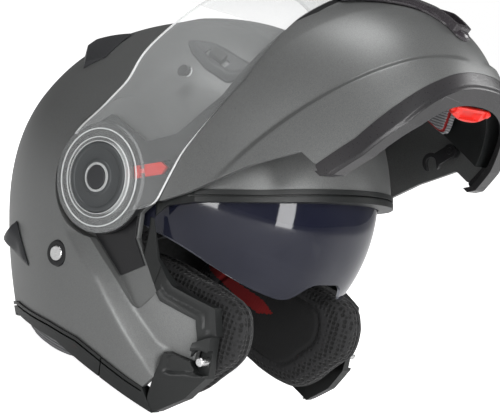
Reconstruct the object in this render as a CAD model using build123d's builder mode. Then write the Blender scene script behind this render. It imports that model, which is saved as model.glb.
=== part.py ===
from build123d import *
import os
from math import cos, radians, sin

# Modular motorcycle helmet standing on its rim, chin bar raised, clear visor shut, sun visor down.
# X runs to the wearer's left, -Y to the front, Z up, in millimetres.

os.makedirs("parts", exist_ok=True)

# Standing pose: the pivot axis lies along X at this height, and the shell leans nose-up on its rim
PIVOT_HEIGHT = 141.0
LEAN = 18.6
LIFT = 68.0
# Lengths that the side outlines follow, forward from the pivot axis
BROW_REACH = 140.0
CHIN_REACH = 213.0
VISOR_REACH = 200.0

# Skull-shaped shell, measured from the pivot axis in the wearer's own frame
SHELL_HALF_WIDTH = 121.0
SHELL_CROWN_RISE = 121.0
SHELL_GIRTH_DROP = 20.0
SHELL_NECK_DROP = 165.0
SHELL_NECK_HALF_WIDTH = 98.0
SHELL_FRONT_DEPTH = 139.0
SHELL_REAR_DEPTH = 165.0
SHELL_CENTRE_AHEAD = 5.0
CROWN_FULLNESS = 2.3
CROWN_TURNS = (90, 76, 62, 48, 34, 18, 0)
NECK_DROP_SHARES = (0.5, 1.0)

# Walls and layers, as depths inside the shell's outer surface
SHELL_WALL = 4.0
FACET_DEPTH = 3.0
RECESS_DEPTH = 6.0
LINER_DEPTH = 34.0
COMFORT_THICKNESS = 8.0
SEAT_GAP = 0.3
SOFT_GAP = 0.4
OVERLAY = 2.2
OVERRUN = 60.0

# Layers at the pivot, as distances from the helmet's middle plane
POCKET_FLOOR = 106.5
CHIN_HALF_WIDTH = 116.0
CHIN_WALL = 4.0
ARM_WALL = 3.0
VISOR_HALF_WIDTH = 118.5
VISOR_WALL = 2.2
VISOR_TO_ARM = 1.0
VISOR_DISC_WALL = 3.9
VISOR_DISC_TO_ARM = 0.6
POCKET_RADIUS = 42.0
PIVOT_RADIUS = 10.0
PIVOT_PLAY = 0.06
PIVOT_CAP_RADIUS = 8.0
DISC_RADIUS = 38.0
COVER_RADIUS = 24.6
RING_RADIUS = 28.0

# Forms that loft round the face, from the lower section to the upper one
CHIN_FULLNESS = 2.5
CHIN_HEIGHT_SHARES = (-0.10, 0.10, 0.32, 0.64, 0.95, 1.36)
CHIN_REACH_SHARES = (0.885, 0.962, 1.0, 0.965, 0.87, 0.72)
CHIN_WIDTH_SHARES = (0.955, 0.975, 0.988, 1.0, 1.0, 1.0)
VISOR_FULLNESS = 2.3
VISOR_HEIGHT_SHARES = (0.54, 0.75, 1.03, 1.37)
VISOR_REACH_SHARES = (1.0, 0.95, 0.86, 0.712)
VISOR_WIDTH_SHARES = (1.0, 1.0, 1.0, 1.0)
FACE_TURNS = (18, 36, 54, 72, 90)
BACK_OF_FACE = 46.0

SIDE = Plane(origin=(0, 0, 0), x_dir=(0, -1, 0), z_dir=(-1, 0, 0))
PLAN = Plane(origin=(0, 0, 0), x_dir=(0, -1, 0), z_dir=(0, 0, 1))
FRONT = Plane(origin=(0, 0, 0), x_dir=(1, 0, 0), z_dir=(0, -1, 0))
HEAD = Location((0, 0, PIVOT_HEIGHT), (-LEAN, 0, 0)) * Location((0, -SHELL_CENTRE_AHEAD, 0))
PIVOT_AXIS = Axis((0, 0, PIVOT_HEIGHT), (-1, 0, 0))


def save(piece, name):
    """Label a finished piece and write it."""
    piece.label = name
    export_step(piece, f"parts/{name}.step")


def save_pair(right_piece, name):
    """Write a piece of the wearer's right side, and its mirror image for the left."""
    save(right_piece, f"{name}_right")
    save(mirror(right_piece, about=Plane.YZ), f"{name}_left")


def placed(shares, reach, height=PIVOT_HEIGHT):
    """Points of an outline, from shares of a reach and a height."""
    return [(along * reach, up * height) for along, up in shares]


def crosswise(points, near, far, grow=0):
    """Side-view outline run across the helmet, between two distances toward the wearer's right."""
    with BuildPart() as prism:
        with BuildSketch(SIDE.offset(near)):
            Polygon(*points, align=None)
            if grow:
                offset(amount=grow, kind=Kind.INTERSECTION)
        extrude(amount=far - near)
    return prism.part


def less(region, *tools):
    """A region with some tools taken out of it."""
    with BuildPart() as rest:
        add(region)
        for tool in tools:
            add(tool, mode=Mode.SUBTRACT)
    return rest.part


def skull_points(inset):
    """Half profile of the shell from the crown down to the neck."""
    half_width = SHELL_HALF_WIDTH - inset
    rise = SHELL_CROWN_RISE + SHELL_GIRTH_DROP - inset
    points = []
    for turn in CROWN_TURNS:
        out = half_width * max(cos(radians(turn)), 0) ** (2 / CROWN_FULLNESS)
        up = rise * sin(radians(turn)) ** (2 / CROWN_FULLNESS)
        points.append((out if turn < 90 else 0, up - SHELL_GIRTH_DROP))
    for share in NECK_DROP_SHARES:
        narrowing = (SHELL_HALF_WIDTH - SHELL_NECK_HALF_WIDTH) * share**2
        drop = (SHELL_NECK_DROP - SHELL_GIRTH_DROP) * share
        points.append((half_width - narrowing, -SHELL_GIRTH_DROP - drop))
    return points


def half_dome(inset, depth):
    """Rear half of the skull form, stretched to one depth."""
    with BuildPart() as half:
        with BuildSketch(Plane.XZ):
            with BuildLine():
                skin = Spline(*skull_points(inset))
                Polyline(skin @ 1, (0, (skin @ 1).Y), skin @ 0)
            make_face()
        revolve(axis=Axis.Z, revolution_arc=180)
        scale(by=(1, (depth - inset) / (SHELL_HALF_WIDTH - inset), 1))
    return half.part


def dome(inset):
    """Skull-shaped solid, a depth inside the shell's outer surface."""
    rear = half_dome(inset, SHELL_REAR_DEPTH)
    front = mirror(half_dome(inset, SHELL_FRONT_DEPTH), about=Plane.XZ)
    skins = [face for half in (rear, front) for face in half.faces()
             if abs(face.center().Y) > SEAT_GAP]
    return Part([Solid(Shell(skins)).moved(HEAD)])


def face_form(widths, reaches, heights, half_width, reach, fullness, inset=0):
    """Solid that wraps round the face: square behind the pivot, a full curve to the front."""
    with BuildPart() as form:
        for width_share, reach_share, height_share in zip(widths, reaches, heights):
            side = half_width * width_share - inset
            nose = reach * reach_share - inset
            curve = []
            for turn in FACE_TURNS:
                out = max(cos(radians(turn)), 0) ** (2 / fullness)
                ahead = sin(radians(turn)) ** (2 / fullness)
                curve.append((nose * ahead, side * out if turn < 90 else 0))
            with BuildSketch(PLAN.offset(PIVOT_HEIGHT * height_share)):
                with BuildLine():
                    Spline((0, side), *curve, tangents=((1, 0), (0, -1)))
                    Polyline((nose, 0), (-BACK_OF_FACE, 0), (-BACK_OF_FACE, side), (0, side))
                make_face()
        loft()
        mirror(about=Plane.YZ)
    return form.part


def chin_form(inset):
    """Outer form of the closed chin bar, or one inside it."""
    return face_form(CHIN_WIDTH_SHARES, CHIN_REACH_SHARES, CHIN_HEIGHT_SHARES,
                     CHIN_HALF_WIDTH, CHIN_REACH, CHIN_FULLNESS, inset)


def visor_form(inset):
    """Outer form of the closed visor, or one inside it."""
    return face_form(VISOR_WIDTH_SHARES, VISOR_REACH_SHARES, VISOR_HEIGHT_SHARES,
                     VISOR_HALF_WIDTH, VISOR_REACH, VISOR_FULLNESS, inset)


def layer(outer, inner, region):
    """What lies between two forms, inside a region."""
    with BuildPart() as sheet:
        add(outer)
        add(region, mode=Mode.INTERSECT)
        add(inner, mode=Mode.SUBTRACT)
    return sheet.part


def raised(piece):
    """A piece of the chin bar or visor, turned from shut to the standing pose."""
    return piece.rotate(PIVOT_AXIS, LIFT)


FAR = SHELL_HALF_WIDTH + OVERRUN

# Side outlines of the shell, as shares of the brow reach and the pivot height
PAINT_EDGE_SHARES = ((0.51, 1.10), (0.77, 1.185), (0.985, 1.275), (1.5, 1.5))
PAINT_SIDE_SHARES = ((0.57, 0.178), (0.60, 0.32), (0.71, 0.31), (0.71, 0.405), (0.68, 0.505),
                     (0.50, 0.54), (0.37, 0.677), (0.27, 0.78), (0.25, 0.90), (0.34, 1.02))
RIM_TOP_SHARES = ((-1.5, 0.09), (-0.80, 0.09), (-0.51, 0.185), (-0.14, 0.21), (0.085, 0.208),
                  (0.22, 0.18), (0.43, 0.128), (0.52, 0.11))
RIM_LOW_SHARES = ((0.587, 0.0), (0.50, 0.018), (0.26, 0.07), (-0.07, 0.135), (-0.52, 0.12),
                  (-0.79, 0.0), (-1.5, 0.0))
ABOVE_SHARES = ((1.5, 2.2), (-1.5, 2.2))
FACET_SHARES = ((-0.20, 0.823), (-0.10, 0.688), (0.148, 0.541), (0.376, 0.338), (0.567, 0.185),
                (0.60, 0.322), (0.539, 0.335), (0.236, 0.565), (-0.02, 0.73), (-0.06, 0.80))
RECESS_SHARES = ((-0.06, 0.80), (-0.02, 0.73), (0.236, 0.565), (0.539, 0.335), (0.60, 0.322),
                 (0.60, 0.27), (0.95, 0.15), (0.95, 0.80), (0.45, 0.95), (0.20, 1.0))
POCKET_SHARES = ((-0.10, 0.80), (-0.02, 0.73), (0.236, 0.565), (0.39, 0.445), (0.55, 0.70),
                 (0.60, 1.0), (0.50, 1.25), (0.36, 1.40), (0.10, 1.45), (-0.10, 1.38), (-0.25, 1.20))

shell_skin = dome(0)
shell_inside = dome(SHELL_WALL)
recess_skin = dome(RECESS_DEPTH)
recess_inside = dome(RECESS_DEPTH + SHELL_WALL)
facet_prism = crosswise(placed(FACET_SHARES, BROW_REACH), -FAR, FAR)
recess_prism = crosswise(placed(RECESS_SHARES, BROW_REACH), -FAR, FAR)
recess_wall = crosswise(placed(RECESS_SHARES, BROW_REACH), -FAR, FAR, SHELL_WALL)


def pocket(floor, grow):
    """Flat-floored recess round each pivot, in which the chin bar's arm turns."""
    with BuildPart() as sector:
        with BuildSketch(SIDE.offset(floor)):
            Polygon(*placed(POCKET_SHARES, BROW_REACH))
            with Locations((0, PIVOT_HEIGHT)):
                Circle(POCKET_RADIUS)
            if grow:
                offset(amount=grow)
        extrude(amount=OVERRUN)
        mirror(about=Plane.YZ)
    return sector.part


def stepped(base, prism, inner_form):
    """A form with one region of it sunk to another form."""
    with BuildPart() as patch:
        add(prism)
        add(inner_form, mode=Mode.INTERSECT)
    with BuildPart() as whole:
        add(base)
        add(prism, mode=Mode.SUBTRACT)
        add(patch.part)
    return whole.part


pivot_pocket = pocket(POCKET_FLOOR, 0)
pocket_back = pocket(POCKET_FLOOR - SHELL_WALL, SHELL_WALL)
pocket_clear = pocket(POCKET_FLOOR - SHELL_WALL - SOFT_GAP, SHELL_WALL + SOFT_GAP)
shell_form = stepped(stepped(shell_skin, facet_prism, dome(FACET_DEPTH)), recess_prism, recess_skin)
shell_cavity = stepped(shell_inside, recess_wall, recess_inside)

# Rivet that holds the chin strap: its place, and the seat for its washer
RIVET_PLACE_SHARES = (-0.143, 0.566)
RIVET_RADIUS = 5.3
RIVET_PROUD = 1.6
RIVET_FLOOR = 113.0
RIVET_END = 97.0
WASHER_RADIUS = 9.0
WASHER_THICKNESS = 4.2
SHANK_RADIUS = 2.5
rivet_place = (RIVET_PLACE_SHARES[0] * BROW_REACH, RIVET_PLACE_SHARES[1] * PIVOT_HEIGHT)


def rod(place, radius, near, far):
    """Round bar along X on the wearer's right, between two distances from the middle plane."""
    with BuildPart() as bar:
        with BuildSketch(SIDE.offset(near)):
            with Locations(place):
                Circle(radius)
        extrude(amount=far - near)
    return bar.part


def pair_of(right):
    """A piece and its mirror image, as one part."""
    with BuildPart() as both:
        add(right)
        mirror(about=Plane.YZ)
    return both.part


# Outer shell
shell_region = crosswise(placed(RIM_TOP_SHARES + PAINT_SIDE_SHARES + PAINT_EDGE_SHARES
                                + ABOVE_SHARES, BROW_REACH), -FAR, FAR)
with BuildPart() as cavity:
    add(shell_cavity)
    add(pocket_back, mode=Mode.SUBTRACT)
with BuildPart() as outer_shell:
    add(shell_form)
    add(pivot_pocket, mode=Mode.SUBTRACT)
    add(cavity.part, mode=Mode.SUBTRACT)
    add(shell_region, mode=Mode.INTERSECT)
    add(pair_of(rod(rivet_place, WASHER_RADIUS + SEAT_GAP, RIVET_FLOOR, FAR)), mode=Mode.SUBTRACT)
    add(pair_of(rod(rivet_place, SHANK_RADIUS + SEAT_GAP, RIVET_END, FAR)), mode=Mode.SUBTRACT)
save(outer_shell.part, "outer_shell")

# Chin strap rivets
with BuildPart() as washer:
    add(rod(rivet_place, WASHER_RADIUS, RIVET_FLOOR, RIVET_FLOOR + WASHER_THICKNESS))
    add(rod(rivet_place, RIVET_RADIUS + SEAT_GAP, RIVET_FLOOR + WASHER_THICKNESS - RIVET_PROUD, FAR),
        mode=Mode.SUBTRACT)
    add(rod(rivet_place, SHANK_RADIUS + SEAT_GAP, RIVET_END, FAR), mode=Mode.SUBTRACT)
    fillet(washer.faces().sort_by(Axis.X)[0].outer_wire().edges(), RIVET_PROUD / 2)
save_pair(washer.part, "rivet_washer")
with BuildPart() as rivet:
    add(rod(rivet_place, RIVET_RADIUS, RIVET_FLOOR + WASHER_THICKNESS - RIVET_PROUD,
            RIVET_FLOOR + WASHER_THICKNESS + RIVET_PROUD / 2))
    add(rod(rivet_place, SHANK_RADIUS, RIVET_END, RIVET_FLOOR + WASHER_THICKNESS))
    fillet(rivet.faces().sort_by(Axis.X)[0].edges(), RIVET_PROUD / 2)
save_pair(rivet.part, "strap_rivet")

# Rim trim round the shell's lower edge, with the slot of the sun visor's slider on the left
TRIM_PROUD = 1.5
TRIM_REACH_IN = 7.0
SLIDER_PLACE = (93.5, 34.0)
SLIDER_YAW = 17.0
SLIDER_LENGTH = 12.0
SLIDER_TRAVEL = 22.0
SLIDER_STEM = 2.4
SLIDER_GRIP = 7.0
SLIDER_DROP = 4.6
RIM_ARCH_SHARE = 0.125
slider_plane = Plane(origin=(SLIDER_PLACE[0], SLIDER_PLACE[1], PIVOT_HEIGHT * RIM_ARCH_SHARE),
                     x_dir=(-sin(radians(SLIDER_YAW)), cos(radians(SLIDER_YAW)), 0), z_dir=(0, 0, 1))
trim_skin = dome(-TRIM_PROUD)
rim_region = crosswise(placed(RIM_TOP_SHARES + RIM_LOW_SHARES, BROW_REACH), -FAR, FAR)
with BuildPart() as slider_slot:
    with BuildSketch(slider_plane.offset(-SLIDER_GRIP)):
        with Locations((SLIDER_TRAVEL / 2, 0)):
            Rectangle(SLIDER_TRAVEL + SLIDER_LENGTH + SOFT_GAP, SLIDER_STEM + SOFT_GAP)
    extrude(amount=2 * SLIDER_GRIP)
save(layer(trim_skin, dome(TRIM_REACH_IN), less(rim_region, slider_slot.part)), "rim_trim")
with BuildPart() as sun_slider:
    with BuildSketch(slider_plane.offset(SLIDER_GRIP - SOFT_GAP)):
        Rectangle(SLIDER_LENGTH - SOFT_GAP, SLIDER_STEM)
    extrude(amount=-SLIDER_GRIP)
    with BuildSketch(slider_plane.offset(-SOFT_GAP)):
        RectangleRounded(SLIDER_LENGTH, SLIDER_GRIP, SLIDER_STEM)
    extrude(amount=-SLIDER_DROP)
    fillet(sun_slider.faces().sort_by(Axis.Z)[0].edges(), SLIDER_STEM / 2)
save(sun_slider.part, "sun_visor_slider")

# Frame of the face opening: a brow band, and a strip down each side of the opening
FRAME_DEPTH = 10.0
STRIP_DEPTH = 11.0
BROW_BAND_SHARES = ((0.34, 1.02), (0.51, 1.10), (0.77, 1.185), (0.985, 1.275), (1.5, 1.5),
                    (1.5, 1.44), (1.0, 1.213), (0.79, 1.13), (0.535, 1.045), (0.385, 0.98),
                    (0.335, 0.90), (0.25, 0.90))
SIDE_BAND_SHARES = ((0.25, 0.90), (0.335, 0.90), (0.42, 0.727), (0.54, 0.627), (0.743, 0.586),
                    (0.78, 0.457), (0.71, 0.406), (0.68, 0.505), (0.50, 0.54), (0.37, 0.677),
                    (0.27, 0.78))
brow_region = crosswise(placed(BROW_BAND_SHARES, BROW_REACH), -FAR, FAR)
strip_region = crosswise(placed(SIDE_BAND_SHARES, BROW_REACH), SEAT_GAP, FAR)
save_pair(layer(dome(RECESS_DEPTH - TRIM_PROUD), dome(STRIP_DEPTH), less(strip_region, pivot_pocket)),
          "opening_strip")

# Black plates on the pocket floor, below the pivots
PLATE_THICKNESS = 1.4
PLATE_SHARES = ((-0.03, 0.745), (0.236, 0.58), (0.36, 0.67), (0.262, 0.775), (0.245, 0.88),
                (0.10, 0.86), (-0.06, 0.85))
side_plate = crosswise(placed(PLATE_SHARES, BROW_REACH), POCKET_FLOOR, POCKET_FLOOR + PLATE_THICKNESS)
save_pair(side_plate, "side_plate")

# Latch housing at the front lower corner, with its striker pin in a bowl
HOUSING_PROUD = 1.0
HOUSING_DEPTH = 8.0
HOUSING_SHARES = ((0.60, 0.318), (0.71, 0.308), (0.712, 0.402), (0.78, 0.454), (0.80, 0.25),
                  (0.725, 0.12), (0.60, 0.01), (0.574, 0.175))
PIN_PLACE_SHARES = (0.764, 0.324)
PIN_RADIUS = 3.2
PIN_OUT = 95.5
PIN_IN = 85.0
BOWL_RADIUS = 9.0
BOWL_FLOOR = 87.0
BOWL_EXIT = 32.0
HOOK_ENTRY = 48.6
pin_place = (PIN_PLACE_SHARES[0] * BROW_REACH, PIN_PLACE_SHARES[1] * PIVOT_HEIGHT)
housing_region = crosswise(placed(HOUSING_SHARES, BROW_REACH), OVERRUN, FAR)
with BuildPart() as bowl:
    add(rod(pin_place, BOWL_RADIUS, BOWL_FLOOR, FAR))
    with BuildSketch(SIDE.offset(BOWL_FLOOR)):
        with Locations(pin_place):
            Rectangle(BOWL_EXIT, 2 * BOWL_RADIUS, rotation=HOOK_ENTRY, align=(Align.MIN, Align.CENTER))
    extrude(amount=OVERRUN)
    add(rod(pin_place, PIN_RADIUS, PIN_IN, FAR))
save_pair(layer(dome(-HOUSING_PROUD), dome(HOUSING_DEPTH), less(housing_region, bowl.part)),
          "latch_housing")
with BuildPart() as latch_pin:
    add(rod(pin_place, PIN_RADIUS, PIN_IN, PIN_OUT))
    chamfer(latch_pin.faces().sort_by(Axis.X)[0].edges(), PIN_RADIUS / 4)
save_pair(latch_pin.part, "latch_pin")

# Sun visor: a barrel of revolution about its own hinge, and the chamber that it swings up into
SUN_AXIS_SHARES = (0.079, 0.989)
SUN_RADIUS = 121.0
SUN_HALF_WIDTH = 99.5
SUN_WALL = 2.0
SUN_FULLNESS = 2.4
SUN_CLEAR = 3.0
SUN_TO_BROW = 0.8
SUN_HUB_RADIUS = 9.0
SUN_PIN_RADIUS = 3.0
SUN_TURNS = (12, 30, 50, 70, 90)
SUN_SIDE_SHARES = ((-0.05, 0.06), (1.0, 0.40), (1.4, 0.0), (1.0, -0.60), (-0.05, -0.06))
SUN_FRONT_SHARES = ((1.1, 0.90), (0.95, 0.823), (0.79, 0.745), (0.594, 0.688), (0.396, 0.66),
                    (0.307, 0.672), (0.178, 0.765))
CHAMBER_SIDE_SHARES = ((-0.10, 0.10), (0.45, 1.5), (1.5, 1.5), (1.5, -0.30), (1.0, -0.75),
                       (-0.10, -0.12))
sun_place = (SUN_AXIS_SHARES[0] * BROW_REACH, SUN_AXIS_SHARES[1] * PIVOT_HEIGHT)
sun_plane = Plane(origin=(0, -sun_place[0], sun_place[1]), x_dir=(1, 0, 0), z_dir=(0, 0, 1))
sun_axis = Axis((0, -sun_place[0], sun_place[1]), (1, 0, 0))


def barrel(half_width, radius):
    """Solid of revolution about the sun visor's hinge."""
    curve = []
    for turn in SUN_TURNS:
        out = max(cos(radians(turn)), 0) ** (2 / SUN_FULLNESS)
        rise = sin(radians(turn)) ** (2 / SUN_FULLNESS)
        curve.append((half_width * out if turn < 90 else 0, radius * rise))
    back = [(-out, rise) for out, rise in reversed(curve[:-1])]
    with BuildPart() as solid:
        with BuildSketch(sun_plane):
            with BuildLine():
                Spline((half_width, 0), *curve, *back, (-half_width, 0), tangents=((0, 1), (0, -1)))
                Line((-half_width, 0), (half_width, 0))
            make_face()
        revolve(axis=sun_axis)
    return solid.part


def about_sun_hinge(shares):
    """Side-view points measured from the sun visor's hinge, as shares of its radius."""
    return [(sun_place[0] + along * SUN_RADIUS, sun_place[1] + up * SUN_RADIUS)
            for along, up in shares]


sun_front = [(out * SUN_HALF_WIDTH, up * PIVOT_HEIGHT) for out, up in SUN_FRONT_SHARES]
sun_front_left = [(-out, up) for out, up in reversed(sun_front)]
sun_front_points = ([(2 * SUN_HALF_WIDTH, 2 * SUN_RADIUS)] + sun_front + sun_front_left
                    + [(-2 * SUN_HALF_WIDTH, 2 * SUN_RADIUS)])
with BuildPart() as sun_visor:
    with BuildSketch(SIDE.offset(-FAR)):
        Polygon(*about_sun_hinge(SUN_SIDE_SHARES))
        with Locations(sun_place):
            Circle(SUN_HUB_RADIUS)
    extrude(amount=2 * FAR)
    add(barrel(SUN_HALF_WIDTH, SUN_RADIUS), mode=Mode.INTERSECT)
    add(barrel(SUN_HALF_WIDTH - SUN_WALL, SUN_RADIUS - SUN_WALL), mode=Mode.SUBTRACT)
    with BuildSketch(FRONT.offset(-OVERRUN)):
        Polygon(*sun_front_points)
    extrude(amount=SUN_RADIUS + 2 * OVERRUN, mode=Mode.INTERSECT)
    add(pair_of(rod(sun_place, SUN_PIN_RADIUS + PIVOT_PLAY, SUN_HALF_WIDTH - OVERRUN / 2, FAR)),
        mode=Mode.SUBTRACT)
save(sun_visor.part, "sun_visor")
sun_sweep = barrel(SUN_HALF_WIDTH + SUN_TO_BROW, SUN_RADIUS + SUN_TO_BROW)
save(layer(trim_skin, dome(FRAME_DEPTH), less(brow_region, pivot_pocket, sun_sweep)), "brow_trim")
chamber_region = crosswise(about_sun_hinge(CHAMBER_SIDE_SHARES), -FAR, FAR)
sun_chamber = layer(barrel(SUN_HALF_WIDTH + SUN_CLEAR, SUN_RADIUS + OVERRUN),
                    barrel(SUN_HALF_WIDTH - SUN_WALL - SUN_CLEAR, SUN_RADIUS - SUN_WALL - SUN_CLEAR),
                    chamber_region)
with BuildPart() as sun_hinge_pin:
    add(rod(sun_place, SUN_PIN_RADIUS, SUN_HALF_WIDTH - SUN_WALL - SOFT_GAP, POCKET_FLOOR - SHELL_WALL))
    add(rod(sun_place, SUN_HUB_RADIUS, SUN_HALF_WIDTH + SUN_WALL, POCKET_FLOOR - SHELL_WALL))
save_pair(sun_hinge_pin.part, "sun_hinge_pin")

# Impact liner, comfort liner and the crown pad
LINER_SHARES = ((1.4, 1.47), (0.985, 1.30), (0.77, 1.21), (0.48, 1.12), (0.20, 1.02), (0.20, 0.80),
                (0.08, 0.68), (-0.10, 0.62), (-0.30, 0.42), (-0.52, 0.30), (-0.80, 0.25), (-1.5, 0.25),
                (-1.5, 2.1), (1.4, 2.1))
PAD_SHARES = ((1.4, 1.65), (0.62, 1.26), (0.20, 1.16), (-0.10, 0.90), (-0.45, 0.60), (-0.75, 0.40),
              (-1.5, 0.40), (-1.5, 2.1), (1.4, 2.1))
liner_region = crosswise(placed(LINER_SHARES, BROW_REACH), -FAR, FAR)
liner_inside = dome(LINER_DEPTH)
liner_cuts = less(liner_region, pocket_clear, sun_chamber,
                  pair_of(rod(rivet_place, WASHER_RADIUS, OVERRUN, FAR)))
save(layer(dome(SHELL_WALL + SEAT_GAP), liner_inside, liner_cuts), "impact_liner")
pad_region = crosswise(placed(PAD_SHARES, BROW_REACH), -FAR, FAR)
save(layer(dome(LINER_DEPTH + SOFT_GAP), dome(LINER_DEPTH + COMFORT_THICKNESS), pad_region), "crown_pad")

# Cheek pads: crowned cushions on a stiff base
CHEEK_SHARES = ((0.63, 0.07), (0.73, 0.15), (0.79, 0.24), (0.895, 0.36), (0.90, 0.49), (0.845, 0.62),
                (0.72, 0.655), (0.30, 0.71), (-0.08, 0.69), (-0.24, 0.50), (-0.22, 0.30), (0.08, 0.26),
                (0.24, 0.12), (0.45, 0.07))
CHEEK_OUT = 79.5
CHEEK_MID = 66.0
CHEEK_IN = 51.0
CHEEK_CENTRE_SHARES = (0.36, 0.40)
CHEEK_SHRINK_SHARES = (0.95, 1.0, 0.80)
CHEEK_CORNER = 7.0
BASE_SHARES = ((0.70, 0.22), (0.74, 0.34), (0.74, 0.50), (0.62, 0.58), (0.40, 0.62), (0.10, 0.64),
               (-0.12, 0.58), (-0.16, 0.36), (0.10, 0.30), (0.30, 0.20))
cheek_centre = (CHEEK_CENTRE_SHARES[0] * BROW_REACH, CHEEK_CENTRE_SHARES[1] * PIVOT_HEIGHT)
cheek_outline = [(along - cheek_centre[0], up - cheek_centre[1])
                 for along, up in placed(CHEEK_SHARES, BROW_REACH)]
with BuildPart() as cheek_pad:
    for out, share in zip((CHEEK_OUT, CHEEK_MID, CHEEK_IN), CHEEK_SHRINK_SHARES):
        with BuildSketch(SIDE.offset(out)) as section:
            with Locations(cheek_centre):
                Polygon(*[(along * share, up * share) for along, up in cheek_outline], align=None)
                fillet(section.vertices(), CHEEK_CORNER)
    loft()
save_pair(cheek_pad.part, "cheek_pad")
base_region = less(crosswise(placed(BASE_SHARES, BROW_REACH), CHEEK_OUT + SEAT_GAP, FAR), pocket_clear,
                   rod(rivet_place, WASHER_RADIUS, CHEEK_OUT, FAR))
with BuildPart() as cheek_base:
    add(dome(STRIP_DEPTH + SEAT_GAP))
    add(base_region, mode=Mode.INTERSECT)
save_pair(cheek_base.part, "cheek_base")

# Neck roll under the nape
ROLL_HALF_WIDTH = 93.4
ROLL_REAR = 107.6
ROLL_WIDTH = 21.0
ROLL_BOTTOM = 3.0
ROLL_TOP = 31.0
roll_in = ROLL_HALF_WIDTH - ROLL_WIDTH
roll_flat_in = roll_in + ROLL_WIDTH / 3
roll_flat_out = roll_in + ROLL_WIDTH * 2 / 3
roll_middle = (ROLL_BOTTOM + ROLL_TOP) / 2
with BuildPart() as neck_roll:
    with BuildSketch(Plane.XZ):
        with BuildLine():
            Line((roll_flat_in, ROLL_BOTTOM), (roll_flat_out, ROLL_BOTTOM))
            ThreePointArc((roll_flat_out, ROLL_BOTTOM), (ROLL_HALF_WIDTH, roll_middle),
                          (roll_flat_out, ROLL_TOP))
            Line((roll_flat_out, ROLL_TOP), (roll_flat_in, ROLL_TOP))
            ThreePointArc((roll_flat_in, ROLL_TOP), (roll_in, roll_middle),
                          (roll_flat_in, ROLL_BOTTOM))
        make_face()
    revolve(axis=Axis.Z, revolution_arc=180)
    scale(by=(1, ROLL_REAR / ROLL_HALF_WIDTH, 1))
save(neck_roll.part, "neck_roll")

# Vents: leaf-shaped covers on the forehead with a slider in each, fins at the rear, side outlets
LEAF_SHARES = ((0.05, 0.60), (0.18, 0.555), (0.35, 0.545), (0.43, 0.52), (0.46, 0.58), (0.40, 0.67),
               (0.26, 0.69), (0.14, 0.66))
LEAF_SLOT_SHARES = (0.27, 0.615)
BUTTON_LENGTH = 12.0
BUTTON_WIDTH = 5.0
BUTTON_TRAVEL = 4.0
BUTTON_HEIGHT = 3.2
FIN_SHARES = ((-0.66, 0.43), (-0.64, 0.52), (-0.49, 0.70), (-0.37, 0.69), (-0.38, 0.46))
FIN_HINGE_SHARES = (-0.36, 1.62)
FIN_RISE = 10.0
OUTLET_SHARES = ((-0.60, 0.60), (-0.71, 0.50), (-0.69, 0.44), (-0.38, 0.415))
VENT_BASE_SHARE = 1.35


def from_above(shares):
    """Plan outline of the wearer's right side, run upward; widths are shares of the half width."""
    with BuildPart() as prism:
        with BuildSketch(PLAN.offset(PIVOT_HEIGHT * VENT_BASE_SHARE)):
            Polygon(*[(along * BROW_REACH, -out * SHELL_HALF_WIDTH) for along, out in shares])
        extrude(amount=PIVOT_HEIGHT)
    return prism.part


leaf_slot = (LEAF_SLOT_SHARES[0] * BROW_REACH, -LEAF_SLOT_SHARES[1] * SHELL_HALF_WIDTH)
seat_skin = dome(-SEAT_GAP)
overlay_skin = dome(-OVERLAY)
leaf_plane = PLAN.offset(PIVOT_HEIGHT)
with BuildPart() as leaf_hole:
    with BuildSketch(leaf_plane):
        with Locations(leaf_slot):
            Rectangle(BUTTON_LENGTH + 2 * BUTTON_TRAVEL + SOFT_GAP, BUTTON_WIDTH + SOFT_GAP)
    extrude(amount=2 * PIVOT_HEIGHT)
with BuildPart() as button_block:
    with BuildSketch(leaf_plane):
        with Locations(leaf_slot):
            Rectangle(BUTTON_LENGTH, BUTTON_WIDTH)
    extrude(amount=2 * PIVOT_HEIGHT)
save_pair(layer(overlay_skin, seat_skin, less(from_above(LEAF_SHARES), leaf_hole.part)), "forehead_vent")
save_pair(layer(dome(-BUTTON_HEIGHT), dome(-2 * SEAT_GAP), button_block.part), "forehead_slider")
fin_axis = Axis((0, -FIN_HINGE_SHARES[0] * BROW_REACH, FIN_HINGE_SHARES[1] * PIVOT_HEIGHT), (1, 0, 0))
save_pair(layer(shell_skin.rotate(fin_axis, FIN_RISE), seat_skin, from_above(FIN_SHARES)), "rear_fin")
save_pair(layer(overlay_skin, seat_skin, crosswise(placed(OUTLET_SHARES, BROW_REACH), SEAT_GAP, FAR)),
          "side_outlet")

# Pivot hubs on the shell
HUB_FLANGE_RADIUS = 17.0
ARM_OUT = VISOR_HALF_WIDTH - VISOR_DISC_WALL - VISOR_DISC_TO_ARM
ARM_IN = ARM_OUT - ARM_WALL
HUB_CAP_OUT = 121.2
pivot_place = (0, PIVOT_HEIGHT)
with BuildPart() as pivot_hub:
    add(rod(pivot_place, HUB_FLANGE_RADIUS, POCKET_FLOOR, ARM_IN - SOFT_GAP))
    add(rod(pivot_place, PIVOT_RADIUS, POCKET_FLOOR, ARM_OUT - SEAT_GAP))
    add(rod(pivot_place, PIVOT_CAP_RADIUS, POCKET_FLOOR, HUB_CAP_OUT))
    fillet(pivot_hub.faces().sort_by(Axis.X)[0].edges(), PLATE_THICKNESS / 2)
save_pair(pivot_hub.part, "pivot_hub")

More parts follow.
